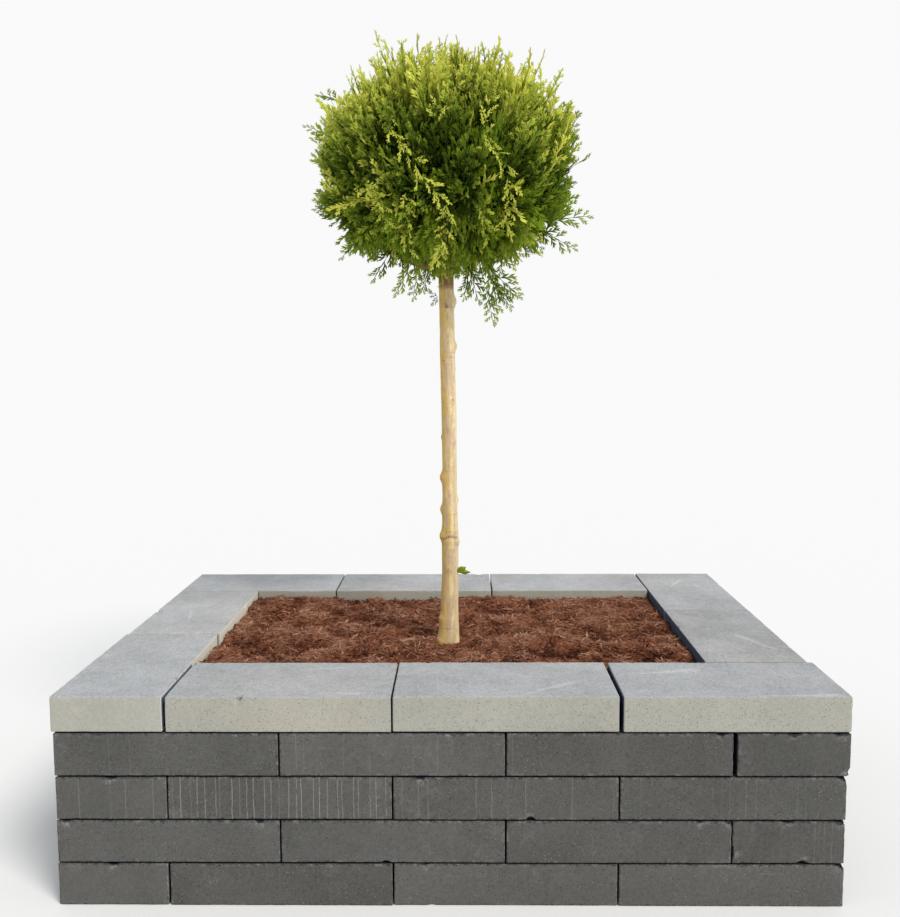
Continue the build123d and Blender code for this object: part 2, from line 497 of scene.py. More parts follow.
def lime_runs(f):
    """Thin upright lines of lime, one in each strip of the face, jittered within the strip."""
    x, y, _ = f.split(f.place)
    wobble = f.times(f.less(f.noise(20.0, detail=2), 0.5), 0.006)
    beside = f.times(f.add(f.add(x, y), wobble), LIME_STRIPS_PER_METRE)
    strip = f.math("FLOOR", beside)
    dice = f.node("ShaderNodeTexWhiteNoise", noise_dimensions="1D")
    f.feed(dice.inputs["W"], strip)
    jitter, force, chance = f.split(dice.outputs["Color"], "Color")
    gap = f.math("ABSOLUTE", f.less(f.less(beside, strip), f.line(jitter, 0.6, 0.2)))
    runs = f.field("runs")
    there = f.band(f.less(runs, chance), -0.02, 0.06)
    strong = f.times(f.line(force, 0.8, 0.35), f.line(runs, 0.8, 0.2))
    worn = f.band(f.streaks((60, 60, 22), detail=4, roughness=0.75), 0.30, 0.52)
    return f.times(f.times(f.band(gap, 0.085, 0.010), there), f.times(strong, worn))


def air_holes(f):
    """The casting's pores: larger ones of mixed sizes, and fine ones between them."""
    gap, kind = f.cells(105.0)
    large = f.times(f.band(f.less(gap, f.line(kind, 0.16, -0.03)), 0.06, -0.02), f.band(kind, 0.55, 0.62))
    return f.most(large, f.dots(260.0, (0.30, 0.16), (0.76, 0.82)))


def rubbed_places(f, strokes, strength, upward):
    """Scuffs here and there, and the rubbed lines on upper faces."""
    scratch = f.streaks((9.0, 9.0, 150.0), detail=2, turn=(0.35, 0.5, 0.4))
    scuffs = f.times(f.band(scratch, 0.70, 0.78), f.band(f.noise(5.0, detail=2), 0.54, 0.66))
    rubbed = f.times(scuffs, strength * 0.40)
    for line in strokes:
        rubbed = f.most(rubbed, f.times(stroke(f, *line), upward))
    return rubbed


def worn_edges(f, tint, bloom, gnaw):
    """A tint with pale arrises, dark nibbles along them, crumbly chipped rims that also carry a painted highlight,
    and painted shade deep in the bites.
    """
    edge = f.field("edge")
    frayed = f.noise(120.0, detail=4, roughness=0.75)
    pale = f.times(edge, f.band(f.noise(38.0, detail=4, roughness=0.7), 0.50, 0.66))
    tint = f.mix(f.times(pale, 0.26), tint, bloom)
    gnawed = f.times(f.band(f.add(frayed, f.times(edge, 0.16)), 0.64, 0.70), f.band(edge, 0.05, 0.5))
    tint = f.mix(f.times(gnawed, gnaw), tint, f.scaled(tint, 0.18))
    crumbs = f.band(f.noise(160.0, detail=3, roughness=0.7), 0.35, 0.65)
    # The rim mix also paints a highlight on the arrises that face the key light.
    tint = f.mix(f.field("rim"), tint, f.mix(f.times(crumbs, 0.55), tint, bloom))
    # Painted shade: the deepest part of each bite is darkened.
    return f.mix(f.field("painted_chip_shade"), tint, f.scaled(tint, 0.60 - 0.80 * gnaw))


def concrete(name, settings, base, top, mottle, pore_depth, speck_strength, gnaw, strokes=()):
    """Cast concrete: cloudy tone, fine grain, pores, pale specks, scuffs, lime runs and worn arrises. Some of it is
    painted light and shade: a cooler upper colour in part, a cream light and a navy shade on the coping's inner
    sides, shade in the joints and deep in the bites, and a highlight on the arrises that face the key light.

    It reads each block's own place, so that no pattern runs on from one block to the next.
    """
    f = Finish(name, roughness=0.86, specular=0.30)
    f.place = f.field("place", vector=True)
    upward, bloom = f.field("upward"), settings.bloom_colour
    patches = f.noise(17.0, detail=5, roughness=0.65)
    grain = f.noise(330.0, detail=2, roughness=0.8)
    dust = f.noise(95.0, detail=5, roughness=0.8)

    clouds = f.noise(4.0, detail=4, roughness=0.6)
    parts = ((clouds, 0.75), (patches, 0.40), (grain, 1.40), (dust, 1.20))
    level = f.total(*((part, weight * mottle) for part, weight in parts))
    middle = sum(weight for _, weight in parts) / 2 * mottle
    level = f.times(f.less(level, middle), f.line(upward, 1.10, 1.0))
    # Upper faces take the cooler top colour, partly painted sky light.
    tint = f.scaled(f.mix(upward, base, top), f.add(f.add(level, f.field("tone")), 1.0))
    warm = f.add(f.band(f.noise(2.2, detail=3), 0.40, 0.68), f.field("warmth"), clamp=True)
    tint = f.mix(f.times(warm, 0.28), tint, f.mix(1.0, tint, (1.12, 1.00, 0.90), "MULTIPLY"))

    pores = air_holes(f)
    tint = f.mix(f.times(pores, 0.72), tint, f.scaled(tint, 0.22))
    specks = f.dots(190.0, (0.30, 0.14), (0.80, 0.90), f.stretch(f.place, shift=(3.1, 1.7, 2.3)))
    specks = f.times(specks, f.band(f.noise(9.0, detail=2), 0.36, 0.66))
    tint = f.mix(f.times(specks, speck_strength), tint, bloom)
    haze = f.band(f.total((f.noise(7.0, detail=5, roughness=0.7), 0.75), (dust, 0.25)), 0.54, 0.70)
    tint = f.mix(f.times(haze, 0.16 * speck_strength), tint, bloom)

    rubbed = rubbed_places(f, strokes, speck_strength, upward)
    tint = f.mix(f.times(rubbed, 0.8), tint, f.mix(0.5, tint, (0.85, 0.85, 0.84)))
    runs = f.times(lime_runs(f), f.less(1.0, upward, clamp=True))
    tint = worn_edges(f, f.mix(f.times(runs, 0.42), tint, bloom), bloom, gnaw)
    # Painted light: a cream tint on the left coping's inner sides, which face the key light.
    tint = f.mix(f.times(f.field("painted_sunlight"), 0.95), tint, (0.97, 0.93, 0.78))
    # Painted shade: a navy-dark tint on faces inside the joints and on the right coping's inner sides.
    tint = f.mix(f.field("painted_shade_mask"), tint, f.mix(1.0, tint, (0.12, 0.18, 0.38), "MULTIPLY"))

    f.bump((patches, 0.0012), (dust, 0.0012), (f.less(1.0, pores), pore_depth), (grain, 0.0008))
    return f.done(tint, f.line(dust, 0.16, 0.76))


def adhesive_finish(settings):
    """Rubbery bead with a lumpy, slightly glossy skin."""
    f = Finish("adhesive", roughness=0.55)
    lumps = f.noise(60.0, detail=4)
    f.bump((lumps, 0.001), (f.noise(400.0), 0.0003))
    return f.done(f.scaled(settings.adhesive_colour, f.line(lumps, 0.8, 0.6)), f.line(lumps, 0.3, 0.4))


def fleece_finish(settings):
    """Needle-punched fleece: crossed short fibres and a pricked surface."""
    f = Finish("fleece", roughness=0.95, specular=0.2)
    fibres = f.streaks((900, 900, 120), detail=3)
    pricks, _ = f.cells(260.0)
    f.bump((f.band(pricks, 0.1, 0.4), 0.0008), (fibres, 0.0006))
    return f.done(f.scaled(settings.fleece_colour, f.line(fibres, 1.2, 0.4)))


def gravel_finish(settings):
    """Rounded stones of many greys, seen where the layer shows, darkened towards their edges as painted shade between
    them.
    """
    f = Finish("gravel", roughness=0.8)
    gap, kind = f.cells(55.0)
    tint = f.mix(kind, f.scaled(settings.gravel_colour, 0.55), settings.gravel_colour)
    f.bump((f.band(gap, 0.7, 0.1), 0.006), (f.noise(300.0), 0.0004))
    # Painted shade: each stone darkens towards the gaps between the stones.
    return f.done(f.scaled(tint, f.band(gap, 0.75, 0.30)))


def soil_finish(settings):
    """Crumbly dark soil with paler grit."""
    f = Finish("soil", roughness=0.95, specular=0.2)
    crumbs = f.noise(90.0, detail=6, roughness=0.7)
    grit = f.dots(120.0, (0.22, 0.14), (0.85, 0.9))
    f.bump((crumbs, 0.006), (f.noise(500.0), 0.0006))
    return f.done(f.mix(grit, f.scaled(settings.soil_colour, f.line(crumbs, 1.4, 0.3)), (0.25, 0.22, 0.18)))


def root_finish(settings):
    """Potting soil bound by a net of pale fine roots."""
    f = Finish("roots", roughness=0.9, specular=0.2)
    net = f.streaks((60, 60, 220), detail=4, distortion=1.5)
    f.bump((net, 0.003), (f.noise(300.0), 0.0006))
    return f.done(f.mix(f.band(net, 0.55, 0.62), settings.soil_colour, (0.34, 0.22, 0.13)))


def mulch_finish(settings, loose):
    """Shredded bark: fibrous red-brown, with painted shade in the hollows, in the gaps between the shreds and along
    the walls, and dry pale fibres.
    """
    f = Finish("bark_shreds" if loose else "bark_bed", roughness=0.92, specular=0.15)
    fibres = f.most(f.streaks((120, 300, 200), detail=4, roughness=0.65, turn=(0, 0, 0.6)),
                    f.streaks((300, 110, 200), detail=4, roughness=0.65, turn=(0, 0, -0.3)))
    patch = f.noise(48.0, detail=5, roughness=0.7)
    level = f.less(f.total((f.field("shade"), 1.05), (f.add(fibres, patch), 1.05)), 0.96)
    tint = f.mix(f.band(level, 0.12, 0.62), settings.dark_bark_and_shade_colour, settings.bark_colour)
    tint = f.mix(f.band(level, 0.60, 1.05), tint, settings.pale_colour)
    f.bump((patch, 0.004), (fibres, 0.002), (f.noise(420.0, detail=2), 0.0005))
    return f.done(tint)


def stem_finish(settings):
    """Pale bark with a yellow flank, grey upright blotches, dark dashes and knots, and reddish limbs."""
    f = Finish("stem_bark", roughness=0.62, specular=0.30)
    red, grey_skin = f.field("red"), settings.mauve_colour
    blotch = f.streaks((46, 46, 9), detail=4, roughness=0.6)
    streak = f.streaks((190, 190, 24), detail=5, roughness=0.7)
    flank = f.total((f.field("flank"), 1.2), (blotch, 1.4))
    tint = f.mix(f.band(flank, 0.75, 1.45), settings.bark_colour, settings.yellow_colour)

    cloud = f.streaks((60, 60, 13), detail=5, roughness=0.65, shift=(2, 5, 1))
    grey = f.times(f.field("middle"), f.band(cloud, 0.40, 0.56))
    tint = f.mix(f.times(grey, 0.80), tint, grey_skin)
    dash = f.streaks((300, 300, 46), detail=3, roughness=0.7, shift=(1, 7, 3))
    dashes = f.times(f.band(dash, 0.58, 0.66), f.line(grey, 0.8, 0.15))
    tint = f.mix(f.times(dashes, 0.62), tint, f.scaled(grey_skin, 0.35))
    lichen = f.band(f.streaks((26, 26, 11), detail=4, roughness=0.7, shift=(4, 1, 6.2)), 0.57, 0.66)
    tint = f.mix(f.times(lichen, 0.45), tint, (0.56, 0.44, 0.07))

    tint = f.scaled(tint, f.line(streak, 0.90, 0.55))
    rings = f.band(f.streaks((9, 9, 130), detail=3), 0.62, 0.72)
    tint = f.mix(f.times(rings, 0.22), tint, grey_skin)
    tint = f.mix(f.times(red, f.band(f.add(streak, red), 0.75, 1.25)), tint, settings.red_colour)
    tint = f.mix(f.field("knot"), tint, (0.055, 0.030, 0.014))
    f.bump((streak, 0.0030), (blotch, 0.0030), (rings, 0.0010), (f.noise(260.0, detail=3), 0.0006))
    return f.done(tint, f.line(streak, 0.25, 0.5))


def foliage_finish(settings):
    """Scale leaves: deep green inside, fresh yellow-green towards the tips and where painted sunlight falls, with
    painted light and shade carried in the tone.
    """
    f = Finish("scale_leaves", roughness=0.6, specular=0.12)
    scales = f.streaks((420, 420, 420), detail=2)
    patch = f.noise(14.0, detail=3)
    ripe = f.less(f.total((f.field("along"), 0.72), (f.field("tone"), 0.62)), 0.05)
    ripe = f.add(ripe, f.times(f.less(patch, 0.5), 0.5))
    ripe = f.add(ripe, f.times(f.less(scales, 0.5), 0.6))
    tint = f.mix(f.band(ripe, 0.18, 0.74), settings.deep_colour, settings.green_colour)
    # Fresh tips follow the painted sunlight.
    fresh = f.times(f.band(ripe, 0.38, 0.86), f.band(f.field("painted_sun_and_gold"), 0.08, 0.90))
    tint = f.mix(fresh, tint, settings.tip_colour)
    f.bump((scales, 0.0008))
    return f.done(tint, f.line(scales, 0.25, 0.48))


# ---- Blocks -------------------------------------------------------------------------------

def block_pose(node):
    """Middle, half sizes and the two level axes of a block, read from its own corners.

    The corners are symmetric about the block's middle planes, so the axes of their spread in
    the level plane are the block's own axes.
    """
    mesh = NODES[node].data
    corners = np.empty(len(mesh.vertices) * 3, np.float32)
    mesh.vertices.foreach_get("co", corners)
    corners = np.unique(np.round(corners.reshape(-1, 3).astype(float), 5), axis=0)
    middle = (corners.min(0) + corners.max(0)) / 2
    spread = corners[:, :2] - middle[:2]
    _, axes = np.linalg.eigh(spread.T @ spread)
    along = axes[:, 1] * np.sign(axes[:, 1].sum())
    across = np.array([-along[1], along[0]])
    half = np.array([np.abs(spread @ along).max(), np.abs(spread @ across).max(),
                     np.ptp(corners[:, 2]) / 2])
    return middle, half, np.array([[*along, 0.0], [*across, 0.0], [0.0, 0.0, 1.0]])


# Bites that show on the front, as (share of the block's front from the left, 1 for its top edge and
# -1 for its lower one, size).
FRONT_BITES = {
    "course_3_left_1": [(0.48, 1, 0.95)],
    "course_1_left_1": [(0.49, 1, 0.90)],
    "course_4_right_1": [(0.50, 1, 1.00), (0.93, 1, 0.95)],
    "course_2_right_1": [(0.52, 1, 0.95), (0.64, -1, 0.75), (0.97, 1, 0.90)],
    "course_4_front_3": [(0.95, 1, 0.85)],
    "course_2_front_3": [(0.985, 1, 0.80)],
    "course_2_front_1": [(0.91, 1, 0.90), (0.04, 1, 0.80)],
    "course_3_front_3": [(0.985, 1, 0.95)],
    "course_1_front_3": [(0.985, 1, 0.95)],
}

# Rubbed lines on upper faces, as (x, y, turn, length, width) from the block's middle in its own axes.
SCUFFS = {
    "coping_front_2": [(0.112, -0.085, 0.594, 0.23, 0.012)],
    "coping_front_3": [(-0.150, 0.060, 0.20, 0.22, 0.018), (0.160, -0.136, 0.02, 0.24, 0.012)],
    "coping_front_1": [(0.080, 0.090, 0.15, 0.14, 0.006), (0.160, -0.120, -0.05, 0.12, 0.008)],
    "coping_right_1": [(-0.100, -0.060, 0.45, 0.20, 0.012)],
    "coping_right_2": [(0.120, 0.020, -0.50, 0.16, 0.010), (0.040, -0.060, 0.30, 0.12, 0.006)],
    "coping_left_2": [(-0.080, 0.010, 0.20, 0.18, 0.007)],
}

# How much lighter than its colour a block is. The blocks that aren't named vary by number.
TONES_AND_PAINTED_LIGHT = {
    "course_4_front_1": -0.03, "course_4_front_2": 0.08, "course_4_front_3": -0.08, "course_4_right_1": -0.09,
    "course_3_left_1": 0.04, "course_3_front_1": -0.02, "course_3_front_2": -0.01, "course_3_front_3": -0.05,
    "course_2_front_1": 0.03, "course_2_front_2": 0.03, "course_2_front_3": -0.04, "course_2_right_1": -0.08,
    "course_1_left_1": 0.10, "course_1_front_1": -0.08, "course_1_front_2": 0.09, "course_1_front_3": 0.07,
    # coping_back_1 and coping_left_2 are lighter partly as painted light, which evens out the crown's shadow on them.
    "coping_back_1": 0.20, "coping_back_2": 0.05, "coping_back_3": 0.05, "coping_front_2": 0.00,
    "coping_left_1": 0.06, "coping_left_2": 0.12, "coping_right_1": -0.08,
}

# Share of a block's strips that carry a lime run. The blocks that aren't named vary by number.
LIME = {
    "course_4_front_1": 0.12, "course_4_front_2": 0.22, "course_4_front_3": 0.08, "course_4_right_1": 0.05,
    "course_3_left_1": 0.40, "course_3_front_1": 1.00, "course_3_front_2": 0.35, "course_3_front_3": 0.20,
    "course_2_front_1": 0.00, "course_2_front_2": 0.00, "course_2_front_3": 0.05, "course_2_right_1": 0.15,
    "course_1_left_1": 0.05, "course_1_front_1": 0.05, "course_1_front_2": 0.05, "course_1_front_3": 0.12,
}

# The first wall block's number and the first coping block's, from which their wear is drawn.
FIRST_WALL, FIRST_COPING = 1, 61
# Steps from one block's number to the next, in the cast pattern and in the wear.
PATTERN_STEP = np.array([1.7, 2.9, 0.0])
WEAR_STEP = 7.3
# Distances of the first grid rows from a block's edge, and the spacing of the others on each axis.
EDGE_ROWS = (0.0, 0.002, 0.005, 0.010)
ROW_SPACING = (0.0095, 0.020, 0.014)
JOINT_REACH = 0.016


def bites_of(node, axes, half, count, rng, reach):
    """Centres and reaches of the bites out of one block's edges, in the block's own axes.

    Each centre is a random point on an edge: one axis is free and the other two are at their
    ends. Upper edges are hit most.
    """
    free = rng.choice(3, size=count, p=(0.62, 0.22, 0.16))
    ends = np.where(rng.random((count, 3)) < 0.5, -1.0, 1.0)
    ends[:, 2] = np.where(rng.random(count) < 0.78, 1.0, -1.0)
    along = rng.uniform(-0.97, 0.97, count)
    ends[np.arange(count), free] = along
    centres = ends * half
    reaches = reach * rng.uniform(0.25, 0.95, count) ** 1.3
    half_turned = abs(axes[0, 1]) > 0.5
    for place, end, size in FRONT_BITES.get(node, ()):
        if half_turned:
            spot = [-half[0], half[1] * (1 - 2 * place), end * half[2]]
        else:
            spot = [half[0] * (2 * place - 1), -half[1], end * half[2]]
        centres = np.concatenate([centres, [spot]])
        reaches = np.append(reaches, size * reach)
    return centres, reaches


def worn_block(node, number, chips, settings):
    """One weathered block, as vertices, quads and the fields that its finish reads.

    A grid on the box is rounded at its arrises: each point is moved to lie one arris radius out
    from the box that is that much smaller. The radius varies with noise, and each bite sinks
    the points near its centre by depth times 1 - (distance / reach)^2.
    """
    middle, half, axes = block_pose(node)
    points, quads = box_grid(*(edge_lines(size, spacing, EDGE_ROWS) for size, spacing in zip(half, ROW_SPACING)))
    rng = np.random.default_rng(4100 + number)
    centres, reaches = bites_of(node, axes, half, chips, rng, settings.chip_reach)
    own = points + WEAR_STEP * number
    crumble = smooth_step(fractal_noise(own, 70.0, 3, number), 0.50, 0.80)
    upper = np.where(points[:, 2] > 0, 1.0, 0.45)
    radius = settings.arris * (0.7 + 0.6 * lattice_noise(own, 25.0, number + 9))
    radius = radius + settings.ragged * crumble * upper
    core = np.clip(points, -(half - radius[:, None]), half - radius[:, None])
    outward = unit(points - core)
    worn = core + outward * radius[:, None]

    apart = np.linalg.norm(points[:, None] - centres[None], axis=2)
    apart *= 0.75 + 0.5 * fractal_noise(own, 110.0, 2, number + 5)[:, None]
    bites = np.clip(1 - (apart / reaches[None]) ** 2, 0, 1)
    depth = settings.chip_depth * reaches / settings.chip_reach
    sink = (bites ** 0.8 * depth[None]).max(axis=1)
    sink = sink * (0.7 + 0.6 * lattice_noise(own, 160.0, number + 3))
    dips = settings.waviness * fractal_noise(own, 5.0, 2, number + 7)
    worn = worn - outward * (sink + dips)[:, None]

    inset = np.sort(half - np.abs(points), axis=1)[:, 1]
    vertices, facing = middle + worn @ axes, outward @ axes
    within = inside_joint(node, vertices, facing) * smooth_step(inset, 0.001, 0.008)
    return vertices, quads, {
        "place": points + PATTERN_STEP * number,
        "edge": 1 - smooth_step(inset, 0.001, 0.009),
        # The rim holds the crumbly rims of the bites and a painted highlight on the arrises that face the key light.
        "rim": np.maximum(smooth_step(bites.max(axis=1), 0.02, 0.2), painted_arris_highlight(facing)),
        # Painted shade deep in the bites.
        "painted_chip_shade": smooth_step(sink, 0.0030, 0.0075),
        "upward": smooth_step(outward[:, 2], 0.4, 0.8),
        # Painted shade inside the joints and on the right coping's inner sides.
        "painted_shade_mask": np.maximum(within, 0.95 * inner_side(node, "coping_right", -facing)),
        # Painted light on the left coping's inner sides.
        "painted_sunlight": inner_side(node, "coping_left", facing),
    }


def inner_side(node, kind, facing):
    """1 on the sides of one kind of block that face +X, and 0 elsewhere.

    The right coping's inner sides, which face the other way, never see the sun and get painted shade. The left
    coping's face the sun and get painted light.
    """
    return node.startswith(kind) * smooth_step(facing[:, 0], 0.6, 0.9)


def painted_arris_highlight(facing):
    """Share of painted highlight on the upright arrises that face forward and to the right, towards the key light."""
    return 0.9 * smooth_step(facing[:, 0], 0.30, 0.55) * smooth_step(-facing[:, 1], 0.20, 0.45)


def inside_joint(node, vertices, facing):
    """1 where a step outward from a point ends in another block, and 0 elsewhere: where the joints get painted shade.
    """
    ahead = vertices + facing * JOINT_REACH
    found = np.zeros(len(vertices), bool)
    for other in (*WALL_BLOCKS, *COPING_BLOCKS):
        low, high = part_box(other)
        if other != node:
            found |= np.all((ahead > np.array(low) - 0.001) & (ahead < np.array(high) + 0.001), axis=1)
    return found.astype(float)


def rubbed_lines():
    """SCUFFS in the places that the cast pattern reads."""
    return [(x + PATTERN_STEP[0] * number, y + PATTERN_STEP[1] * number, turn, long, wide)
            for number, node in enumerate(COPING_BLOCKS, start=FIRST_COPING)
            for x, y, turn, long, wide in SCUFFS.get(node, ())]


def lay_blocks(nodes, first, material, chips, settings):
    """Makes the weathered piece for each block and gives it its own tone, warmth and lime runs."""
    for number, node in enumerate(nodes, start=first):
        vertices, quads, fields = worn_block(node, number, chips, settings)
        # The tones of two coping blocks are partly painted light.
        for field, value in (("tone", TONES_AND_PAINTED_LIGHT.get(node, 0.05 * math.sin(2.1 * number))),
                             ("warmth", 0.5 * math.sin(5.3 * number)),
                             ("runs", LIME.get(node, max(0.0, 0.35 * math.sin(3.7 * number))))):
            fields[field] = np.full(len(vertices), value)
        make_piece(f"worn_{node}", (vertices, quads, fields), material, [node])


class PLANTER_OT_blocks(bpy.types.Operator):
    """Lay the weathered wall and coping blocks."""

    bl_idname = "planter.blocks"
    bl_label = "Concrete blocks"

    def execute(self, context):
        settings = context.scene.planter_concrete
        wall = settings.wall_colour
        dark = concrete("dark_concrete", settings, wall, wall, mottle=0.78, pore_depth=0.0016,
                        speck_strength=0.60, gnaw=0.62)
        pale = concrete("pale_concrete", settings, settings.coping_colour, settings.coping_top_colour_with_skylight,
                        mottle=0.42, pore_depth=0.0014, speck_strength=1.0, gnaw=0.06, strokes=rubbed_lines())
        lay_blocks(WALL_BLOCKS, FIRST_WALL, dark, settings.wall_chips, settings)
        lay_blocks(COPING_BLOCKS, FIRST_COPING, pale, settings.coping_chips, settings)
        return {"FINISHED"}


# ---- Filling ------------------------------------------------------------------------------

class PLANTER_OT_filling(bpy.types.Operator):
    """Finish the adhesive, the liner, the gravel, the soil and the root ball."""

    bl_idname = "planter.filling"
    bl_label = "Joints and filling"

    def execute(self, context):
        concrete_settings, filling = context.scene.planter_concrete, context.scene.planter_filling
        finishes = {
            "bed_adhesive": adhesive_finish(concrete_settings),
            "liner": fleece_finish(filling),
            "drainage_gravel": gravel_finish(filling),
            "soil": soil_finish(filling),
            "root_ball": root_finish(filling),
        }
        for node, material in finishes.items():
            NODES[node].data.materials.clear()
            NODES[node].data.materials.append(material)
        return {"FINISHED"}


# Hollows in the mulch: x, y and reach in metres, and their share of the full depth.
HOLLOWS = ((0.335, -0.260, 0.080, 1.0), (0.620, -0.290, 0.070, 0.9), (-0.560, -0.290, 0.050, 0.5),
           (-0.640, 0.220, 0.060, 0.5), (-0.300, 0.100, 0.055, 0.35), (0.380, 0.120, 0.060, 0.3),
           (0.150, -0.060, 0.045, 0.3), (-0.240, -0.200, 0.045, 0.3))
HOLLOW_DEPTH = 0.024
BED_ROWS_ACROSS, BED_ROWS_BACK = 190, 116


def level_points(x, y):
    """Points at height 0."""
    return np.stack([x, y, np.zeros_like(x)], axis=1)


def clumps_at(points):
    """The noise that the mulch's clumps and their shade share, from 0 to 1."""
    return fractal_noise(points, 17.0, 3, 23)


def hollow_depth(x, y):
    """1 in the middle of each hollow, fading out over a ragged rim."""
    ragged = 0.45 + 1.1 * fractal_noise(level_points(x, y), 26.0, 3, 41)
    depth = np.zeros_like(x)
    for cx, cy, size, strength in HOLLOWS:
        apart = ((x - cx) / size) ** 2 + ((y - cy) / (0.6 * size)) ** 2
        depth = np.maximum(depth, strength * np.exp(-apart / ragged))
    return depth * (0.5 + ragged / 2).clip(0, 1)


class Bed:
    """The space that the mulch fills: its four inner walls, its floor and its rim."""

    def __init__(self, settings):
        gap = settings.wall_gap
        self.front = max(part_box(f"coping_front_{n}")[1].y for n in (1, 2, 3)) + gap
        self.back = min(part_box(f"coping_back_{n}")[0].y for n in (1, 2, 3)) - gap
        self.left = max(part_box(f"coping_left_{n}")[1].x for n in (1, 2)) + gap
        near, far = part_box("coping_right_1")[0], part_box("coping_right_2")[0]
        self.lean = (far.x - near.x) / (far.y - near.y)
        self.right = near.x - gap - self.lean * near.y
        low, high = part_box("mulch")
        self.floor, self.level = low.z, high.z
        self.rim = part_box("coping_front_1")[1].z
        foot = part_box("tree_stem")
        self.stem = np.array([(foot[0].x + foot[1].x) / 2, (foot[0].y + foot[1].y) / 2])

    def right_at(self, y):
        """The right wall leans a little, so its place depends on y."""
        return self.right + self.lean * y

    def height(self, x, y, settings):
        """Level of the mulch: the CAD level plus low mounds, clumps and crumbs of noise.

        It falls a little towards the walls and the stem, and into the hollows.
        """
        flat = level_points(x, y)
        mounds = fractal_noise(flat, 3.5, 2, 11) - 0.5
        clumps = clumps_at(flat) - 0.5
        crumbs = fractal_noise(flat, 60.0, 3, 37) - 0.5
        walls = np.minimum.reduce([x - self.left, self.right_at(y) - x, y - self.front, self.back - y])
        stem = np.linalg.norm(flat[:, :2] - self.stem, axis=1)
        rise = settings.mound * mounds * 1.6 + settings.clump * clumps * 2.0 + settings.clump * crumbs * 0.8
        rise = rise - 0.004 * (1 - smooth_step(walls, 0.0, 0.05))
        rise = rise - 0.004 * (1 - smooth_step(stem, 0.03, 0.12))
        rise = rise - HOLLOW_DEPTH * hollow_depth(x, y)
        return np.minimum(self.level + rise, self.rim - 0.004)


def mulch_bed(bed, settings):
    """The closed body of the mulch, as vertices, quads and its shade: the bark's tone with painted shade in the gaps
    between the shreds, along the walls and in the hollows.

    A flat slab's upper grid is lifted to the height field, and its sides follow the walls.
    """
    points, quads = box_grid(np.linspace(0, 1, BED_ROWS_ACROSS), np.linspace(0, 1, BED_ROWS_BACK),
                             np.array([0.0, 1.0]))
    y = bed.front + points[:, 1] * (bed.back - bed.front)
    x = bed.left + points[:, 0] * (bed.right_at(y) - bed.left)
    z = np.where(points[:, 2] > 0.5, bed.height(x, y, settings), bed.floor + 0.0005)
    vertices = np.stack([x, y, z], axis=1)
    # The bed is darker than the shreds: painted shade in the gaps between them.
    shade = 0.16 + 0.9 * (clumps_at(vertices) - 0.35)
    # Painted shade: a dark strip where the bed meets the walls.
    shade *= ((points[:, :2] > 0.001) & (points[:, :2] < 0.999)).all(axis=1)
    # Painted shade in the hollows.
    shade -= 0.60 * hollow_depth(x, y)
    return vertices, quads, {"shade": np.clip(shade, 0.02, 0.7)}


def spindle():
    """A closed sliver of unit length along X: three triangular rings and a point at each end."""
    turn = np.tile(np.arange(3) * math.tau / 3, 3)
    places = np.repeat([-0.30, 0.02, 0.30], 3)
    width = np.repeat([0.85, 1.0, 0.75], 3)
    points = np.stack([places, 0.5 * width * np.cos(turn), 0.5 * width * np.sin(turn)], axis=1)
    points = np.concatenate([points, [[-0.5, 0.05, 0.0], [0.5, -0.05, 0.0]]])
    index = np.arange(9).reshape(3, 3)
    after = np.roll(index, -1, axis=1)
    bands = np.concatenate([np.stack([index[:-1], after[1:], after[:-1]], axis=-1).reshape(-1, 3),
                            np.stack([index[:-1], index[1:], after[1:]], axis=-1).reshape(-1, 3)])
    foot = np.stack([after[0], np.full(3, 9), index[0]], axis=-1)
    head = np.stack([index[2], np.full(3, 10), after[2]], axis=-1)
    return points, np.concatenate([bands, foot, head])


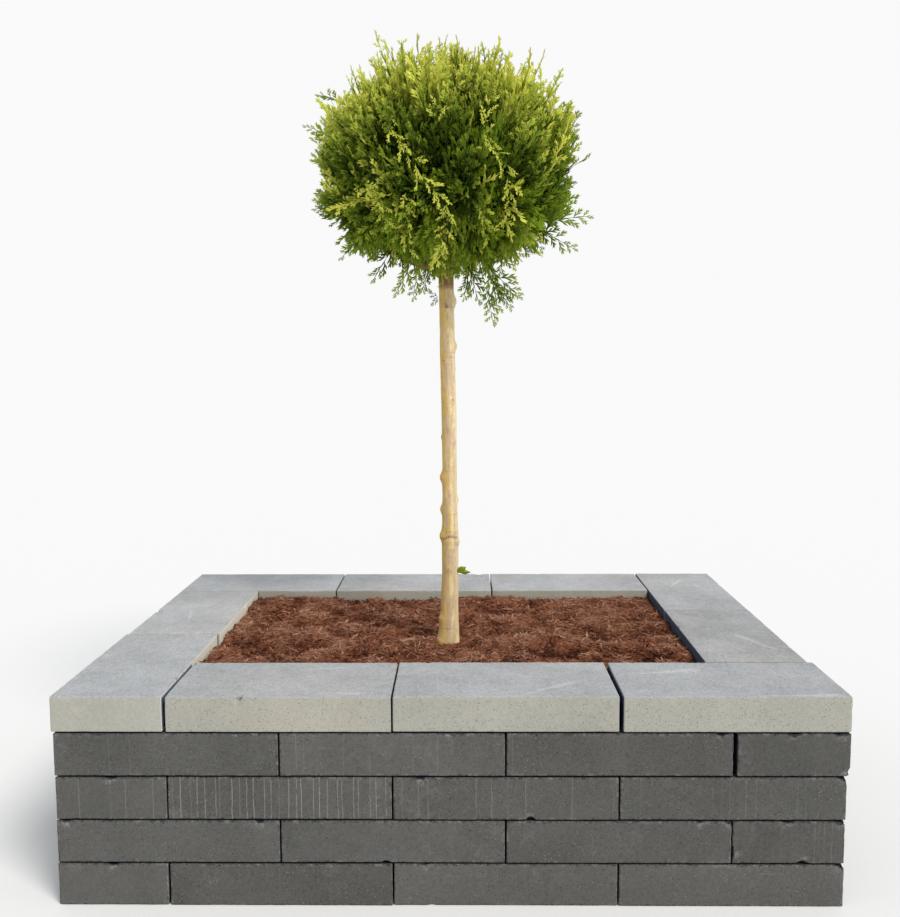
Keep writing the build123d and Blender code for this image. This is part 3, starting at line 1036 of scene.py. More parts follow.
def scatter(bed, count, shape, triangles, long, wide, thick, bend, lift, seed, settings):
    """Copies of one sliver strewn over the mulch, as vertices, triangles and their shade: the bark's tone with
    painted shade in the hollows.

    Each copy is stretched to its own length, width and thickness, bent by the square of its
    length, rolled, tipped and turned, and set on the height field.
    """
    rng = np.random.default_rng(seed)
    y = rng.uniform(bed.front + 0.004, bed.back - 0.004, count)
    x = bed.left + rng.uniform(0.003, 0.997, count) * (bed.right_at(y) - bed.left)
    long = long * np.exp(rng.normal(0, 0.45, count)).clip(0.30, 2.1)
    wide = long * rng.uniform(*wide, count)
    local = shape[None] * np.stack([long, wide, wide * rng.uniform(*thick, count)], axis=1)[:, None]
    local[..., 2] += bend * rng.normal(0, 1.3, count)[:, None] * local[..., 0] ** 2
    local[..., 1] += bend * rng.normal(0, 1.0, count)[:, None] * local[..., 0] ** 2
    turns = (rng.uniform(0, math.tau, count), rng.normal(0, 0.34, count), rng.uniform(-1.0, 1.0, count))
    cy, sy, cp, sp, cr, sr = (f(a)[:, None] for a in turns for f in (np.cos, np.sin))
    px, py, pz = local[..., 0], local[..., 1], local[..., 2]
    py, pz = cr * py - sr * pz, sr * py + cr * pz
    px, pz = cp * px + sp * pz, -sp * px + cp * pz
    px, py = cy * px - sy * py, sy * px + cy * py
    z = bed.height(x, y, settings) + rng.uniform(*lift, count)
    points = np.stack([px + x[:, None], py + y[:, None], pz + z[:, None]], axis=-1).reshape(-1, 3)
    points[:, 1] = points[:, 1].clip(bed.front, bed.back)
    points[:, 0] = points[:, 0].clip(bed.left, bed.right_at(points[:, 1]))
    points[:, 2] = points[:, 2].clip(bed.floor + 0.004, bed.rim - 0.002)
    shade = 0.40 + 1.6 * (clumps_at(level_points(x, y)) - 0.45) + rng.normal(0, 0.24, count)
    # Painted shade in the hollows.
    shade = shade - 0.75 * hollow_depth(x, y)
    shade = np.where(rng.random(count) < 0.025, 0.90, np.clip(shade, 0.0, 0.85))
    return points, repeated(triangles, count, len(shape)), {"shade": np.repeat(shade, len(shape))}


class PLANTER_OT_mulch(bpy.types.Operator):
    """Spread the bark mulch."""

    bl_idname = "planter.mulch"
    bl_label = "Bark mulch"

    def execute(self, context):
        settings = context.scene.planter_filling
        bed = Bed(settings)
        make_piece("mulch_bed", mulch_bed(bed, settings), mulch_finish(settings, False), ["mulch"])
        loose = mulch_finish(settings, True)
        shreds = scatter(bed, settings.shreds, *spindle(), long=settings.shred_length, wide=(0.09, 0.22),
                         thick=(0.3, 0.7), bend=3.2, lift=(-0.002, 0.0045), seed=77, settings=settings)
        fibre = tetra((-0.5, 0, 0), (0.5, 0, 0), 1.0, 0.5)
        fibres = scatter(bed, settings.fibres, fibre, TETRA_FACES, long=settings.fibre_length, wide=(0.06, 0.15),
                         thick=(0.8, 1.0), bend=0.0, lift=(0.0, 0.0065), seed=78, settings=settings)
        make_piece("mulch_shreds", shreds, loose, ["mulch"], smooth=False)
        make_piece("mulch_fibres", fibres, loose, ["mulch"], smooth=False)
        return {"FINISHED"}


# ---- Stem ---------------------------------------------------------------------------------

# Knots and scars of the stem: height, angle about the stem from +X, size and darkness.
KNOTS = (
    (0.620, 3.6, 0.011, 0.6), (0.788, 4.5, 0.006, 0.7), (0.893, 3.3, 0.012, 0.2), (0.979, 3.1, 0.011, 0.3),
    (1.011, 0.1, 0.009, 0.4), (1.083, 3.2, 0.013, 0.2), (1.195, 5.4, 0.007, 0.5), (1.330, 5.2, 0.007, 1.0),
    (1.454, 4.2, 0.006, 1.0), (1.500, 0.2, 0.012, 0.1), (1.624, 4.7, 0.012, 0.8), (1.640, 0.3, 0.014, 0.3),
    (1.300, 1.4, 0.010, 0.8), (0.840, 1.9, 0.010, 0.8), (1.120, 1.2, 0.012, 0.6), (1.560, 2.2, 0.011, 0.7),
    (0.700, 0.9, 0.009, 0.5), (1.210, 2.7, 0.008, 0.4), (1.020, 2.2, 0.007, 0.7), (1.430, 0.7, 0.009, 0.5),
)
RING_SCAR = 0.893
STEM_RINGS, STEM_SIDES = 330, 40


def stem_path(heights):
    """Middle of the stem at each height: the CAD axis, bowed by sway times sin(pi t^0.6)."""
    low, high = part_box("tree_stem")
    sway = bpy.context.scene.planter_tree.sway
    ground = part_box("mulch")[1].z
    t = np.clip((heights - ground) / (high.z - ground), 0, 1)
    bow = sway * np.sin(math.pi * t ** 0.6)
    back = -0.35 * sway * np.sin(math.tau * t)
    return np.stack([(low.x + high.x) / 2 + bow, (low.y + high.y) / 2 + back, heights], axis=1)


def stem_surface(settings):
    """The stem, as vertices, triangles and the fields that its finish reads.

    The radius runs from neck to foot by an exponential flare, times 1 + ridges of stretched
    noise, plus a dome of size * exp(-(distance / size)^2) for each knot.
    """
    ground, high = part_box("mulch")[1].z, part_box("tree_stem")[1]
    heights = np.linspace(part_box("mulch")[0].z + 0.006, high.z, STEM_RINGS)
    above = np.maximum(heights - ground, 0)
    spread = settings.foot_radius - settings.neck_radius
    radius = settings.neck_radius + spread * np.exp(-above / settings.flare) + 0.0022 * np.exp(-above / 0.6)
    angle = np.arange(STEM_SIDES) * math.tau / STEM_SIDES
    h, a = np.meshgrid(heights, angle, indexing="ij")
    ring = np.stack([np.cos(a).ravel() * 0.03, np.sin(a).ravel() * 0.03, h.ravel() * 0.22], axis=1)
    ridges = (fractal_noise(ring, 90.0, 3, 5) - 0.5).reshape(h.shape)
    slow = (fractal_noise(ring * [1, 1, 1.6], 22.0, 2, 8) - 0.5).reshape(h.shape)
    factor = 1 + 0.110 * ridges + 0.26 * slow
    r = radius[:, None]
    knot = np.zeros_like(h)
    swell = np.zeros_like(h)
    for height, turn, size, dark in KNOTS:
        around = (a - turn + math.pi) % math.tau - math.pi
        apart = np.hypot(around * r, (h - height) * 0.8)
        swell += 0.70 * size * np.exp(-(apart / size) ** 2)
        pit = np.exp(-(apart / (0.38 * size)) ** 2)
        swell -= 0.30 * size * pit * dark
        knot = np.maximum(knot, dark * pit)
    under = (h - RING_SCAR - 0.005 * np.sin(a + 0.6) - 0.004 * np.sin(3 * a)) / 0.004
    facing = smooth_step(-np.sin(a), -0.2, 0.6)
    swell += 0.0022 * facing * np.exp(-((h - RING_SCAR + 0.014) / 0.010) ** 2)
    swell += 0.0040 * smooth_step(np.cos(a), 0.2, 0.9) * np.exp(-((h - RING_SCAR + 0.018) / 0.014) ** 2)
    knot = np.maximum(knot, 0.65 * facing * np.exp(-under ** 2) * smooth_step(ridges, -0.25, 0.05))
    root = 0.10 * np.exp(-(h - ground).clip(0) / 0.035) * (1 + 0.9 * np.cos(3 * a + 0.8))
    shape = factor + swell / r + root * smooth_step(-h, -ground - 0.10, -ground)
    vertices, triangles = tube(stem_path(heights), radius, STEM_SIDES, shape)
    fields = {
        "knot": knot,
        "flank": smooth_step(-np.cos(a - 0.45), 0.15, 0.90),
        "middle": smooth_step(-np.sin(a), 0.35, 0.95),
        "red": 0.85 * smooth_step(h, 1.655, 1.70),
    }
    poles = np.zeros(2)
    return vertices, triangles, {name: np.append(values.ravel(), poles) for name, values in fields.items()}


def limb_paths(settings):
    """Middle lines of the limbs: from the stem's neck, out by r = t^0.8 and up by an arc."""
    low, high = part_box("tree_crown")
    top = crown_box()[0][2] + 0.26
    rng = np.random.default_rng(31)
    t = np.linspace(0, 1, 12)
    paths = []
    for number in range(settings.limbs):
        turn = number * GOLDEN_ANGLE + rng.uniform(-0.2, 0.2)
        start = stem_path(np.array([high.z - (high.z - low.z) * rng.uniform(0.90, 1.03)]))[0]
        rise = rng.uniform(0.10, 0.62)
        out = rng.uniform(0.16, 0.30) * (1.1 - rise * 0.7)
        level = t ** 0.8 * out
        path = np.stack([start[0] + level * math.cos(turn), start[1] + level * math.sin(turn),
                         start[2] + rise * (t ** 1.25)], axis=1)
        path[:, :2] += 0.012 * np.sin(np.outer(t * 5 + number, [1.0, 1.3]))
        path[:, 2] = np.minimum(path[:, 2], top)
        paths.append(path)
    return paths


def limbs(settings):
    """All limbs as one set of tapering tubes."""
    rng = np.random.default_rng(32)
    parts = []
    for path in limb_paths(settings):
        thick = rng.uniform(0.009, 0.014)
        parts.append(tube(path, np.linspace(thick, 0.003, len(path)), 7))
    vertices, triangles = join(parts)
    plain = np.zeros(len(vertices))
    return vertices, triangles, {"knot": plain, "flank": plain, "middle": plain, "red": plain + 0.9}


# ---- Foliage ------------------------------------------------------------------------------

class Habit:
    """How one kind of frond grows.

    lobes are a twig's side lobes as (start along the twig, side, length), and lean and wide are
    their angle and their width. twigs are (share of the way along the frond, length as a share
    of the frond's), and turn and stray are their angle and its scatter. stalk is the stalk's
    thickness and stalk_ripe its freshness at its tip.
    """

    def __init__(self, lobes, lean, wide, twigs, turn, stray, stalk, stalk_ripe):
        self.lobes, self.lean, self.wide = lobes, lean, wide
        self.twigs, self.turn, self.stray = np.array(twigs).T, turn, stray
        self.stalk, self.stalk_ripe = stalk, stalk_ripe


SPRAY = Habit(
    lobes=((0.10, -1, 0.52), (0.26, 1, 0.54), (0.44, -1, 0.46), (0.60, 1, 0.38)), lean=0.38, wide=0.095,
    twigs=((0.10, 0.36), (0.22, 0.42), (0.34, 0.43), (0.46, 0.40), (0.57, 0.36), (0.68, 0.31), (0.78, 0.26),
           (0.87, 0.21), (0.91, 0.20)),
    turn=0.56, stray=0.10, stalk=0.030, stalk_ripe=0.4)
PLUME = Habit(
    lobes=((0.16, -1, 0.54), (0.36, 1, 0.50), (0.56, -1, 0.38)), lean=0.40, wide=0.130,
    twigs=((0.14, 0.26), (0.25, 0.28), (0.36, 0.28), (0.47, 0.27), (0.57, 0.25), (0.67, 0.22), (0.76, 0.19),
           (0.84, 0.16), (0.86, 0.19)),
    turn=0.44, stray=0.22, stalk=0.055, stalk_ripe=0.7)
# Stretches of a frond's stalk, from and to.
STALK_PARTS = ((0.0, 0.4), (0.3, 0.7), (0.6, 0.95))
UP = np.array([0.0, 0.0, 1.0])
FORWARD = np.array([0.0, -1.0, 0.0])


def twig_shape(habit):
    """A scale-leaved twig of unit length along Y: a two-part middle and its side lobes.

    Returns corners, faces and how far along the twig each corner lies.
    """
    slivers = [tetra((0, -0.04, 0), (0.02, 0.60, 0.02), habit.wide, 0.06),
               tetra((0.02, 0.36, 0.02), (0, 1.0, 0.0), habit.wide * 1.25, 0.07)]
    for start, side, size in habit.lobes:
        tip = (side * size * math.sin(habit.lean), start + size * math.cos(habit.lean), 0.03)
        slivers.append(tetra((0.0, start, 0.0), tip, habit.wide * 1.1, 0.06))
    corners = np.concatenate(slivers)
    return corners, repeated(TETRA_FACES, len(slivers), 4), corners[:, 1].clip(0, 1)


def crown_box():
    """Middle and half sizes of the crown."""
    low, high = (np.array(corner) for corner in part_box("tree_crown"))
    return (low + high) / 2, (high - low) / 2


def squared(normal, way):
    """The part of each normal that is square to its way, at unit length."""
    return unit(normal - way * (normal * way).sum(1)[:, None])


def spiral(count):
    """Even directions over a sphere along the golden spiral."""
    n = np.arange(count) + 0.5
    z = 1 - 2 * n / count
    level = np.sqrt(1 - z * z)
    return np.stack([level * np.cos(n * GOLDEN_ANGLE), level * np.sin(n * GOLDEN_ANGLE), z], axis=1)


def crown_points(count, inset, seed, settings):
    """Directions over the crown, the tuft that each belongs to and the crown's surface there.

    The surface is the crown's ellipsoid, swollen by noise and drawn in between the tufts by
    the square of the distance to the nearest tuft's middle.
    """
    centre, half = crown_box()
    rng = np.random.default_rng(seed)
    out = unit(spiral(count) + rng.normal(0, 0.05, (count, 3)))
    fixed = np.random.default_rng(65)
    middles = unit(spiral(settings.tufts) + fixed.normal(0, 0.05, (settings.tufts, 3)))
    heights = fixed.uniform(-0.07, 0.075, settings.tufts)
    nearness = out @ middles.T
    tuft = nearness.argmax(axis=1)
    apart = np.arccos(nearness.max(axis=1).clip(-1, 1)) * math.sqrt(settings.tufts) / 2
    uneven = heights[tuft] * (1 + 0.9 * out[:, 2].clip(0, 1))
    lump = 0.905 + 0.10 * (fractal_noise(out + 4.0, 2.6, 2, 12) - 0.5) + uneven - 0.12 * apart ** 2
    lump = lump + 0.06 * np.abs(out[:, 2]) * np.hypot(out[:, 0], out[:, 1]) + rng.normal(0, 0.02, count)
    lump = lump - 0.10 * shady_hollow(out)
    reach = half * np.where(out[:, 2:3] < 0, [[1.0, 1.0, 1.06]], [[1.0, 1.0, 0.74]])
    return out, tuft, middles[tuft], apart, centre + out * reach * (lump * (1 - inset))[:, None], rng


def shady_hollow(out):
    """1 in the middle of the front, where the crown opens into its shade, fading out around it."""
    return np.exp(-((out[:, 0] - 0.02) / 0.26) ** 2 - ((out[:, 2] - 0.02) / 0.34) ** 2) * (out[:, 1] < 0)


def frond_frames(count, inset, seed, plume, settings):
    """Base, direction, normal and length of each frond, and where on the crown it grows.

    The fronds of a tuft point the same way, outward and upward at the top and sides of the
    crown and outward and down underneath. A spray lies in an upright plane, turned about its
    own direction by chance. A plume stands more upright and reaches further out.
    """
    out, tuft, middles, apart, tip, rng = crown_points(count, inset, seed, settings)
    climb = np.where(out[:, 2] > -0.30, 0.62 + 0.45 * plume, 0.62 - 2.6 * (-0.30 - out[:, 2]))
    along = unit(0.45 * out + 0.45 * middles + climb[:, None] * UP + rng.normal(0, 0.19, (count, 3)))
    size = settings.frond_length * rng.uniform(0.75, 1.25, count) * (1.25 if plume else 1.0)
    upper = smooth_step(out[:, 2], 0.1, 0.8)
    reach = rng.uniform(0.0, 0.026, count) + 0.040 * upper * rng.random(count) ** 2
    tip = tip + along * (reach * plume)[:, None]
    flat = unit(np.cross(along, UP + rng.normal(0, 0.02, (count, 3))))
    roll = rng.normal(0, 0.75, count)[:, None]
    normal = unit(flat * np.cos(roll) + np.cross(along, flat) * np.sin(roll))
    return (tip - along * size[:, None], along, normal, size), out, tuft, apart, rng


def middle_line(base, along, bend, size, s):
    """Points of each frond's middle line: base + (along * s + bend * s^2) * size."""
    return (base[:, None] + along[:, None] * (s[None] * size[:, None])[..., None]
            + bend[:, None] * (s[None] ** 2 * size[:, None])[..., None])


def grow_twigs(base, along, side, normal, size, bend, habit, slim, rng):
    """Corners, faces and freshness of all twigs, which leave the middle lines by turns.

    A twig's direction is the line's own, turned towards the frond's side. slim scales its length.
    """
    corners, faces, reach = twig_shape(habit)
    s, scale = habit.twigs
    count, twigs = len(base), len(s)
    turns = np.where(np.arange(twigs) % 2 == 0, 1, -1) * habit.turn
    turns[-1] = 0.0
    leans = turns[None] + rng.normal(0, 0.12, (count, twigs))
    forward = unit(along[:, None] + bend[:, None] * (2 * s[None])[..., None])
    face = unit(normal[:, None] + rng.normal(0, 0.22, (count, twigs, 3)))
    way = unit(forward * np.cos(leans)[..., None] + side[:, None] * np.sin(leans)[..., None]
               + habit.stray * rng.normal(0, 1, (count, twigs, 3)))
    across = unit(np.cross(way, face))
    face = np.cross(across, way)
    span = slim * scale[None] * size[:, None] * rng.uniform(0.80, 1.20, (count, twigs))
    part = corners[None, None] * span[..., None, None]
    points = (middle_line(base, along, bend, size, s)[:, :, None] + across[:, :, None] * part[..., 0:1]
              + way[:, :, None] * part[..., 1:2] + face[:, :, None] * part[..., 2:3])
    ripeness = (s[None, :, None] * 0.62 + 0.38 * reach[None, None]) * np.ones((count, 1, 1))
    return points.reshape(-1, 3), repeated(faces, count * twigs, len(corners)), ripeness.ravel()


def grow_stalks(base, along, side, normal, size, bend, habit):
    """Corners, faces and freshness of all stalks, which follow the middle lines."""
    stalk = np.concatenate([tetra((0, start, 0), (0, end, 0), habit.stalk, habit.stalk * 0.4)
                            for start, end in STALK_PARTS])
    points = middle_line(base, along, bend, size, stalk[:, 1])
    points = points + side[:, None] * (stalk[None, :, 0] * size[:, None])[..., None]
    points = points + normal[:, None] * (stalk[None, :, 2] * size[:, None])[..., None]
    faces = repeated(repeated(TETRA_FACES, len(STALK_PARTS), 4), len(base), len(stalk))
    return points.reshape(-1, 3), faces, np.tile(stalk[:, 1] * habit.stalk_ripe, len(base))


def grow_fronds(base, along, normal, size, bend, habit, rng, slim=1.0):
    """Twigs and stalks of all fronds at once.

    Returns vertices, faces, the freshness of each vertex and the frond that it belongs to.
    """
    side = np.cross(along, normal)
    twigs = grow_twigs(base, along, side, normal, size, bend, habit, slim, rng)
    stalks = grow_stalks(base, along, side, normal, size, bend, habit)
    vertices, faces = join([twigs, stalks])
    fronds = np.arange(len(base))
    owner = np.concatenate([np.repeat(fronds, len(part[0]) // len(base)) for part in (twigs, stalks)])
    return vertices, faces, np.concatenate([twigs[2], stalks[2]]), owner


def with_fields(grown, tone, painted_sun_and_gold):
    """Grown fronds as vertices, faces and fields, from each frond's tone and its share of painted sunlight and gold.
    """
    vertices, faces, along, owner = grown
    return vertices, faces, {"along": along, "tone": tone[owner], "painted_sun_and_gold": painted_sun_and_gold[owner]}


def foliage(count, inset, seed, plume, settings, inner_painted_shade=0.0):
    """Vertices, triangles and fields of one layer of fronds, all plumes or all sprays."""
    frames, out, tuft, apart, rng = frond_frames(count, inset, seed, plume, settings)
    bend = 0.10 * UP + 0.16 * rng.normal(0, 0.6, (count, 3))
    grown = grow_fronds(*frames, bend, PLUME if plume else SPRAY, rng)
    dice = np.random.default_rng(66).normal(0, 1, (settings.tufts, 2))[tuft]
    patchy = fractal_noise(out + 9.0, 2.2, 2, 14) - 0.5
    above, below = out[:, 2].clip(0, 1), (-out[:, 2] - 0.25).clip(0, 1)
    # Random tone, darker away from each tuft's middle as painted shade in the creases between tufts.
    tone = 0.14 + 0.6 * patchy + 0.12 * dice[:, 0] - 0.24 * apart + rng.normal(0, 0.15, count)
    # Painted shade where the crown opens at the front.
    tone = tone - 0.42 * shady_hollow(out)
    # Painted light: the top, the underside and the right side are made lighter.
    tone = tone + 0.52 * above + 0.44 * below + 0.10 * out[:, 0] + 0.06 * plume
    golden = (rng.random(count) < 0.20 * plume) | (dice[:, 1] > 2.2)
    tone = np.where(golden, tone + 0.38, tone)
    # Painted sunlight: fresh tips mostly on top and fewer underneath; golden fronds get them in full.
    painted_sun_and_gold = 0.28 + 0.98 * above - 0.20 * below - 0.05 * out[:, 0] + 0.14 * dice[:, 1]
    painted_sun_and_gold = painted_sun_and_gold + rng.normal(0, 0.16, count)
    # The inner sprays get painted shade: a lower tone and less painted sunlight.
    painted_sun_and_gold = np.where(golden, 1.0, painted_sun_and_gold.clip(0, 1)) * (1 - inner_painted_shade)
    return with_fields(grown, np.clip(tone, 0, 1.1) - inner_painted_shade, painted_sun_and_gold)


def leaders(settings):
    """Bunches of strong plumes that stand out of the crown's upper half.

    Each bunch grows from the crown's surface, outward and up, with three plumes that lean
    apart a little.
    """
    centre, half = crown_box()
    rng = np.random.default_rng(83)
    out = unit(spiral(3 * settings.leaders)[:settings.leaders] + rng.normal(0, 0.07, (settings.leaders, 3)))
    root = centre + out * half * [0.80, 0.80, 0.60]
    way = unit(0.62 * out + 0.85 * UP + rng.normal(0, 0.07, out.shape))
    reach = settings.frond_length * rng.uniform(0.72, 1.18, settings.leaders)
    root, way, reach = (np.repeat(values, 3, axis=0) for values in (root, way, reach))
    count = len(reach)
    way = unit(way + rng.normal(0, 0.13, (count, 3)))
    root = root + rng.normal(0, 0.010, (count, 3))
    reach = reach * rng.uniform(0.70, 1.0, count)
    flat = unit(np.cross(way, [0.0, -0.35, 1.0]))
    normal = squared(unit(np.cross(flat, way) + rng.normal(0, 0.35, (count, 3))), way)
    bend = rng.normal(0, 0.07, (count, 3))
    grown = grow_fronds(root, way, normal, reach, bend, PLUME, rng, slim=0.72)
    tone = rng.uniform(0.35, 0.80, count)
    return with_fields(grown, tone, rng.uniform(0.55, 1.0, count))


# Distance between the plumes of a strand.
STRAND_STEP = 0.016
# Strands over the crown's front: how golden, and (across, up) in metres from the crown's middle.
STRANDS = (
    (1.00, ((-0.212, 0.221), (-0.190, 0.152), (-0.164, 0.089), (-0.133, 0.038), (-0.101, 0.000), (-0.082, -0.038),
            (-0.057, -0.063), (-0.019, -0.108))),
    (1.00, ((0.008, -0.128), (0.006, -0.185), (-0.012, -0.240), (-0.022, -0.310))),
    (0.80, ((-0.127, -0.095), (-0.115, -0.140), (-0.127, -0.190), (-0.118, -0.240), (-0.124, -0.280))),
    (0.85, ((0.114, 0.089), (0.146, 0.050), (0.178, 0.000), (0.196, -0.050), (0.204, -0.114), (0.198, -0.190))),
    (0.60, ((0.108, -0.127), (0.120, -0.178), (0.140, -0.228))),
    (0.95, ((-0.028, 0.115), (-0.018, 0.190), (-0.008, 0.280), (-0.013, 0.345))),
    (0.85, ((0.118, 0.080), (0.134, 0.160), (0.152, 0.235), (0.176, 0.290))),
    (0.75, ((0.036, 0.220), (0.048, 0.285), (0.062, 0.345))),
    (0.70, ((-0.205, 0.110), (-0.235, 0.180), (-0.255, 0.250))),
    (0.45, ((-0.255, 0.070), (-0.285, 0.135), (-0.315, 0.190))),
    (0.55, ((-0.075, 0.230), (-0.105, 0.275), (-0.120, 0.310))),
    (0.60, ((0.270, 0.140), (0.275, 0.195), (0.280, 0.225))),
    (0.70, ((-0.280, -0.060), (-0.210, -0.110), (-0.180, -0.190))),
)


def strands(settings):
    """Strands of short plumes that lie over the front of the crown.

    The plumes of a strand follow its line by turns to the left and to the right, at the depth of
    the crown's ellipsoid: y = -half_y * sqrt(1 - (x / half_x)^2 - (z / half_z)^2). The line is as
    seen from the front, so that each point moves towards the eye until it reaches that depth.
    Low down the strands lie closer to the stem, as the crown does.
    """
    centre, half = crown_box()
    eye = np.array(bpy.context.scene.planter_stage.eye)
    rng = np.random.default_rng(92)
    rows = []
    for gold, line in STRANDS:
        line = np.array(line)
        span = np.append(0, np.cumsum(np.linalg.norm(np.diff(line, axis=0), axis=1)))
        step = np.arange(0.0, span[-1], STRAND_STEP)
        x, z = (np.interp(step, span, line[:, axis]) for axis in (0, 1))
        x = x + 0.004 * np.sin(70 * step + 9 * gold)
        depth = np.sqrt((1 - (x / half[0]) ** 2 - (z / half[2]) ** 2).clip(0.03, 1))
        snug = 0.94 - 0.16 * smooth_step(-z, 0.12, 0.30)
        near = snug * half[1] * depth / (centre[1] - eye[1])
        place = centre + np.stack([x, 0 * x, z], axis=1)
        place = place + (eye - place) * near[:, None]
        turn = np.where(np.arange(len(step)) % 2 == 0, 1, -1)
        rows.append(np.column_stack([place, unit(np.gradient(place, axis=0)), turn, np.full(len(step), gold)]))
    rows = np.concatenate(rows)
    base, line, turn, gold = rows[:, :3], rows[:, 3:6], rows[:, 6:7], rows[:, 7]
    count = len(base)
    beside = unit(np.cross(line, FORWARD))
    way = unit(line + beside * turn * rng.uniform(0.25, 0.75, (count, 1)) + rng.normal(0, 0.12, (count, 3)))
    normal = squared(FORWARD + rng.normal(0, 0.35, (count, 3)), way)
    size = settings.frond_length * rng.uniform(0.22, 0.38, count)
    bend = rng.normal(0, 0.10, (count, 3))
    grown = grow_fronds(base, way, normal, size, bend, PLUME, rng)
    return with_fields(grown, 0.34 + 0.42 * gold + rng.normal(0, 0.08, count), gold)


# Sprigs that hang out of the crown: root from the middle of its foot, direction and length.
SPRIGS = (
    ((0.125, -0.10, 0.075), (0.30, -0.1, -1.0), 0.150), ((0.140, -0.12, 0.020), (0.80, 0.0, -0.55), 0.120),
    ((0.130, -0.12, -0.015), (0.05, 0.1, -1.0), 0.115), ((0.140, -0.11, 0.005), (0.50, -0.2, -0.75), 0.110),
    ((0.075, -0.10, 0.060), (-0.1, 0.0, -1.0), 0.120), ((-0.050, -0.05, 0.060), (-0.22, -0.1, -1.0), 0.100),
    ((-0.150, -0.12, 0.105), (-0.55, -0.2, -0.8), 0.130), ((0.070, 0.14, 0.070), (0.3, 0.3, -0.9), 0.120),
    ((-0.090, 0.12, 0.070), (-0.2, 0.3, -1.0), 0.110), ((-0.090, -0.14, 0.080), (-0.35, -0.1, -1.0), 0.130),
    ((0.285, -0.10, 0.172), (1.0, -0.1, 0.14), 0.142), ((0.280, -0.12, 0.150), (1.0, -0.1, -0.55), 0.115),
    ((-0.215, -0.12, 0.145), (-1.0, -0.1, -0.72), 0.110), ((-0.315, -0.05, 0.225), (-1.0, 0.0, 0.0), 0.092),
    ((-0.355, 0.02, 0.465), (-1.0, 0.0, 0.16), 0.085), ((-0.315, 0.04, 0.560), (-1.0, 0.0, 0.66), 0.088),
    ((-0.024, -0.010, -0.045), (-0.8, -0.2, 0.42), 0.048), ((-0.024, -0.012, -0.040), (-0.45, -0.2, -0.85), 0.042),
)


def hanging_sprigs(settings):
    """A few sprays that hang out of the crown's foot and its sides."""
    low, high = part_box("tree_crown")
    foot = np.array([(low.x + high.x) / 2, (low.y + high.y) / 2, low.z])
    roots, ways, size = (np.array(column) for column in zip(*SPRIGS))
    ways = unit(ways)
    rng = np.random.default_rng(58)
    normal = squared(unit(np.cross(ways, np.array([0.3, -1.0, 0.2])) * 0.4 + FORWARD), ways)
    bend = rng.normal(0, 0.10, (len(size), 3))
    grown = grow_fronds(foot + roots, ways, normal, size, bend, SPRAY, rng)
    return with_fields(grown, rng.uniform(0.25, 0.55, len(size)), np.full(len(size), 0.30))


# Little leaves on the stem's right flank: direction, length and width.
SHOOTS = (((0.9, -0.15, 0.55), 0.036, 0.020), ((1.0, -0.1, 0.02), 0.046, 0.016),
          ((0.55, -0.3, 0.8), 0.026, 0.012), ((0.9, 0.1, 0.25), 0.030, 0.020))
SHOOT_HEIGHT = 0.775


def stem_shoots():
    """Little pointed leaves that sprout from the right flank of the stem."""
    root = stem_path(np.array([SHOOT_HEIGHT]))[0] + [0.022, -0.014, 0.0]
    root[2] = SHOOT_HEIGHT
    slivers = []
    for aim, size, wide in SHOOTS:
        way = unit(np.array(aim))
        across = unit(np.cross(way, [0.2, -1.0, 0.1]))
        up = np.cross(across, way)
        local = tetra((0, 0, 0), (0, 1, 0), wide / size, 0.10) * size
        slivers.append(root + local[:, :1] * across + local[:, 1:2] * way + local[:, 2:] * up)
    vertices = np.concatenate(slivers)
    fields = {name: np.full(len(vertices), value) for name, value in (("along", 0.45), ("tone", 0.5), ("painted_sun_and_gold", 0.3))}
    return vertices, repeated(TETRA_FACES, len(slivers), 4), fields


class PLANTER_OT_stem(bpy.types.Operator):
    """Grow the stem and its limbs."""

    bl_idname = "planter.stem"
    bl_label = "Stem and limbs"

    def execute(self, context):
        settings = context.scene.planter_tree
        bark = stem_finish(settings)
        make_piece("stem", stem_surface(settings), bark, ["tree_stem"])
        make_piece("crown_limbs", limbs(settings), bark, ["tree_crown"])
        return {"FINISHED"}


class PLANTER_OT_crown(bpy.types.Operator):
    """Grow the foliage of the crown and the stem's side shoots."""

    bl_idname = "planter.crown"
    bl_label = "Foliage"

    def execute(self, context):
        settings = context.scene.planter_tree
        leaves = foliage_finish(settings)
        # The inner sprays are darkened as painted shade.
        layers = {"inner": foliage(settings.inner_fronds, 0.24, 991, False, settings, inner_painted_shade=0.35)}
        for number in (1, 2):
            layers[f"sprays_{number}"] = foliage(settings.sprays // 2, 0.03, 300 + 7 * number, False, settings)
            layers[f"plumes_{number}"] = foliage(settings.plumes // 2, 0.02, 400 + 7 * number, True, settings)
        layers["leaders"] = leaders(settings)
        layers["strands"] = strands(settings)
        layers["hanging"] = hanging_sprigs(settings)
        for name, layer in layers.items():
            make_piece(f"foliage_{name}", layer, leaves, ["tree_crown"], smooth=False)
        make_piece("stem_shoots", stem_shoots(), leaves, smooth=False)
        return {"FINISHED"}


# ---- Stage --------------------------------------------------------------------------------

FLOOR_SIDES = 96
# The floor lies this far under the blocks' feet, so that the two faces don't meet.
FLOOR_DROP = 0.0002
SENSOR_WIDTH = 36.0


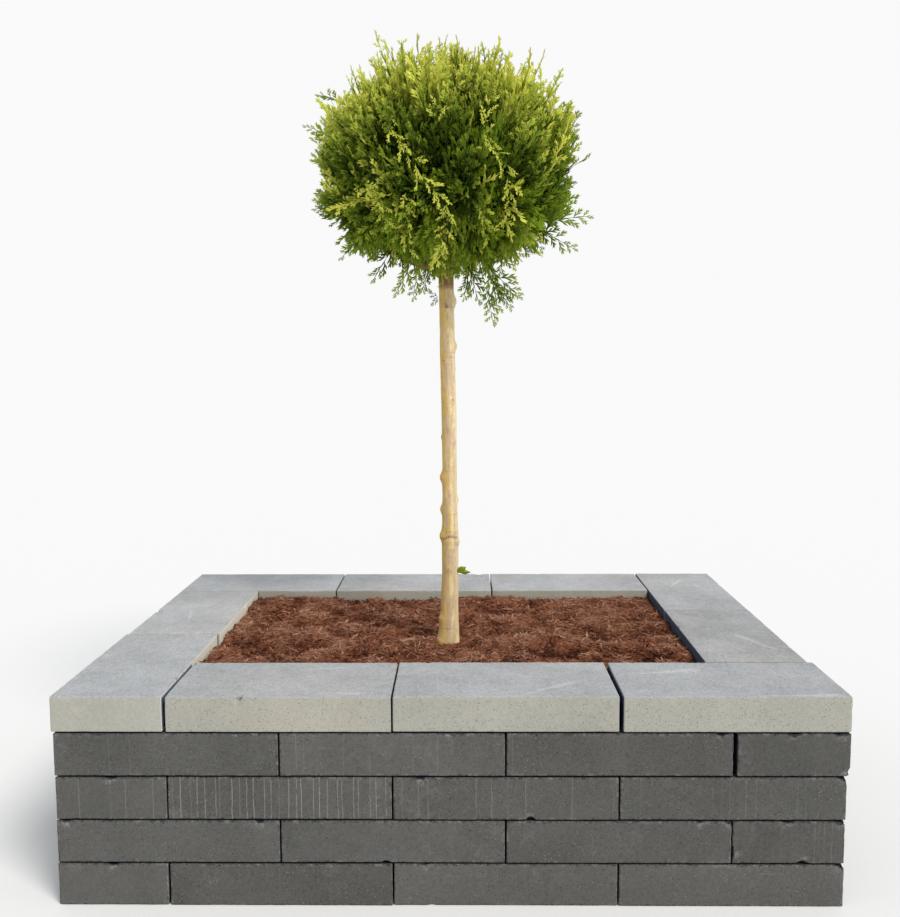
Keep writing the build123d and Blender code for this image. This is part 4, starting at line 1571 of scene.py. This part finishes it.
class PLANTER_OT_stage(bpy.types.Operator):
    """Set the floor, the light and the camera."""

    bl_idname = "planter.stage"
    bl_label = "Stage"

    def execute(self, context):
        settings = context.scene.planter_stage
        f = Finish("floor", roughness=1.0, specular=0.0)
        material = f.done(tuple(settings.floor_colour))
        angle = np.arange(FLOOR_SIDES) * math.tau / FLOOR_SIDES
        ring = level_points(np.cos(angle), np.sin(angle)) * settings.floor_radius
        mesh = bpy.data.meshes.new("floor")
        mesh.from_pydata(ring - [0, 0, FLOOR_DROP], [], [list(range(FLOOR_SIDES))])
        mesh.materials.append(material)
        floor = bpy.data.objects.new("floor", mesh)
        context.scene.collection.objects.link(floor)

        lamp = bpy.data.lights.new("key", "SUN")
        lamp.energy = math.pi * settings.key / math.sin(settings.key_height)
        lamp.color, lamp.angle = settings.key_colour, settings.key_size
        key = bpy.data.objects.new("key", lamp)
        context.scene.collection.objects.link(key)
        key.rotation_euler = (math.pi / 2 - settings.key_height, 0.0, settings.key_side)

        world = bpy.data.worlds.new("studio")
        context.scene.world = world
        world.use_nodes = True
        nodes, links = world.node_tree.nodes, world.node_tree.links
        sky, key_share = np.array(settings.sky_colour), np.array(settings.key_colour) * settings.key
        backdrop = nodes["Background"]
        backdrop.inputs["Color"].default_value = (
            *(np.array(settings.floor_colour) * (sky * settings.sky + key_share)), 1.0)
        fill = nodes.new("ShaderNodeBackground")
        fill.inputs["Color"].default_value = (*sky, 1.0)
        fill.inputs["Strength"].default_value = settings.sky
        path, choose = nodes.new("ShaderNodeLightPath"), nodes.new("ShaderNodeMixShader")
        links.new(path.outputs["Is Camera Ray"], choose.inputs[0])
        links.new(fill.outputs[0], choose.inputs[1])
        links.new(backdrop.outputs[0], choose.inputs[2])
        links.new(choose.outputs[0], nodes["World Output"].inputs["Surface"])

        lens = bpy.data.cameras.new("camera")
        lens.lens, lens.sensor_width = settings.lens, SENSOR_WIDTH
        lens.dof.use_dof = False
        camera = bpy.data.objects.new("camera", lens)
        context.scene.collection.objects.link(camera)
        camera.location = settings.eye
        camera.rotation_euler = (math.pi / 2 - settings.tilt, settings.roll, settings.turn)
        context.scene.camera = camera
        context.scene.view_settings.view_transform = "Standard"
        context.scene.view_settings.look = "None"
        return {"FINISHED"}


# ---- Add-on -------------------------------------------------------------------------------

STEPS = (PLANTER_OT_stage, PLANTER_OT_blocks, PLANTER_OT_filling, PLANTER_OT_mulch, PLANTER_OT_stem,
         PLANTER_OT_crown)
GROUPS = {
    "planter_concrete": ConcreteSettings,
    "planter_filling": FillingSettings,
    "planter_tree": TreeSettings,
    "planter_stage": StageSettings,
}


class PLANTER_PT_sidebar(bpy.types.Panel):
    """Lists every step and every setting of the planter."""

    bl_label = "Raised planter"
    bl_idname = "PLANTER_PT_sidebar"
    bl_space_type = "VIEW_3D"
    bl_region_type = "UI"
    bl_category = "Planter"

    def draw(self, context):
        for step in STEPS:
            self.layout.operator(step.bl_idname)
        for group in GROUPS:
            box = self.layout.box()
            settings = getattr(context.scene, group)
            for key in settings.bl_rna.properties.keys():
                if key not in ("rna_type", "name"):
                    box.prop(settings, key)


def register():
    for group, kind in GROUPS.items():
        bpy.utils.register_class(kind)
        setattr(bpy.types.Scene, group, PointerProperty(type=kind))
    for kind in (*STEPS, PLANTER_PT_sidebar):
        bpy.utils.register_class(kind)


def unregister():
    for kind in (PLANTER_PT_sidebar, *reversed(STEPS)):
        bpy.utils.unregister_class(kind)
    for group, kind in GROUPS.items():
        delattr(bpy.types.Scene, group)
        bpy.utils.unregister_class(kind)


def main():
    """Registers the add-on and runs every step."""
    register()
    for step in STEPS:
        group, action = step.bl_idname.split(".")
        getattr(getattr(bpy.ops, group), action)()


if __name__ == "__main__":
    main()
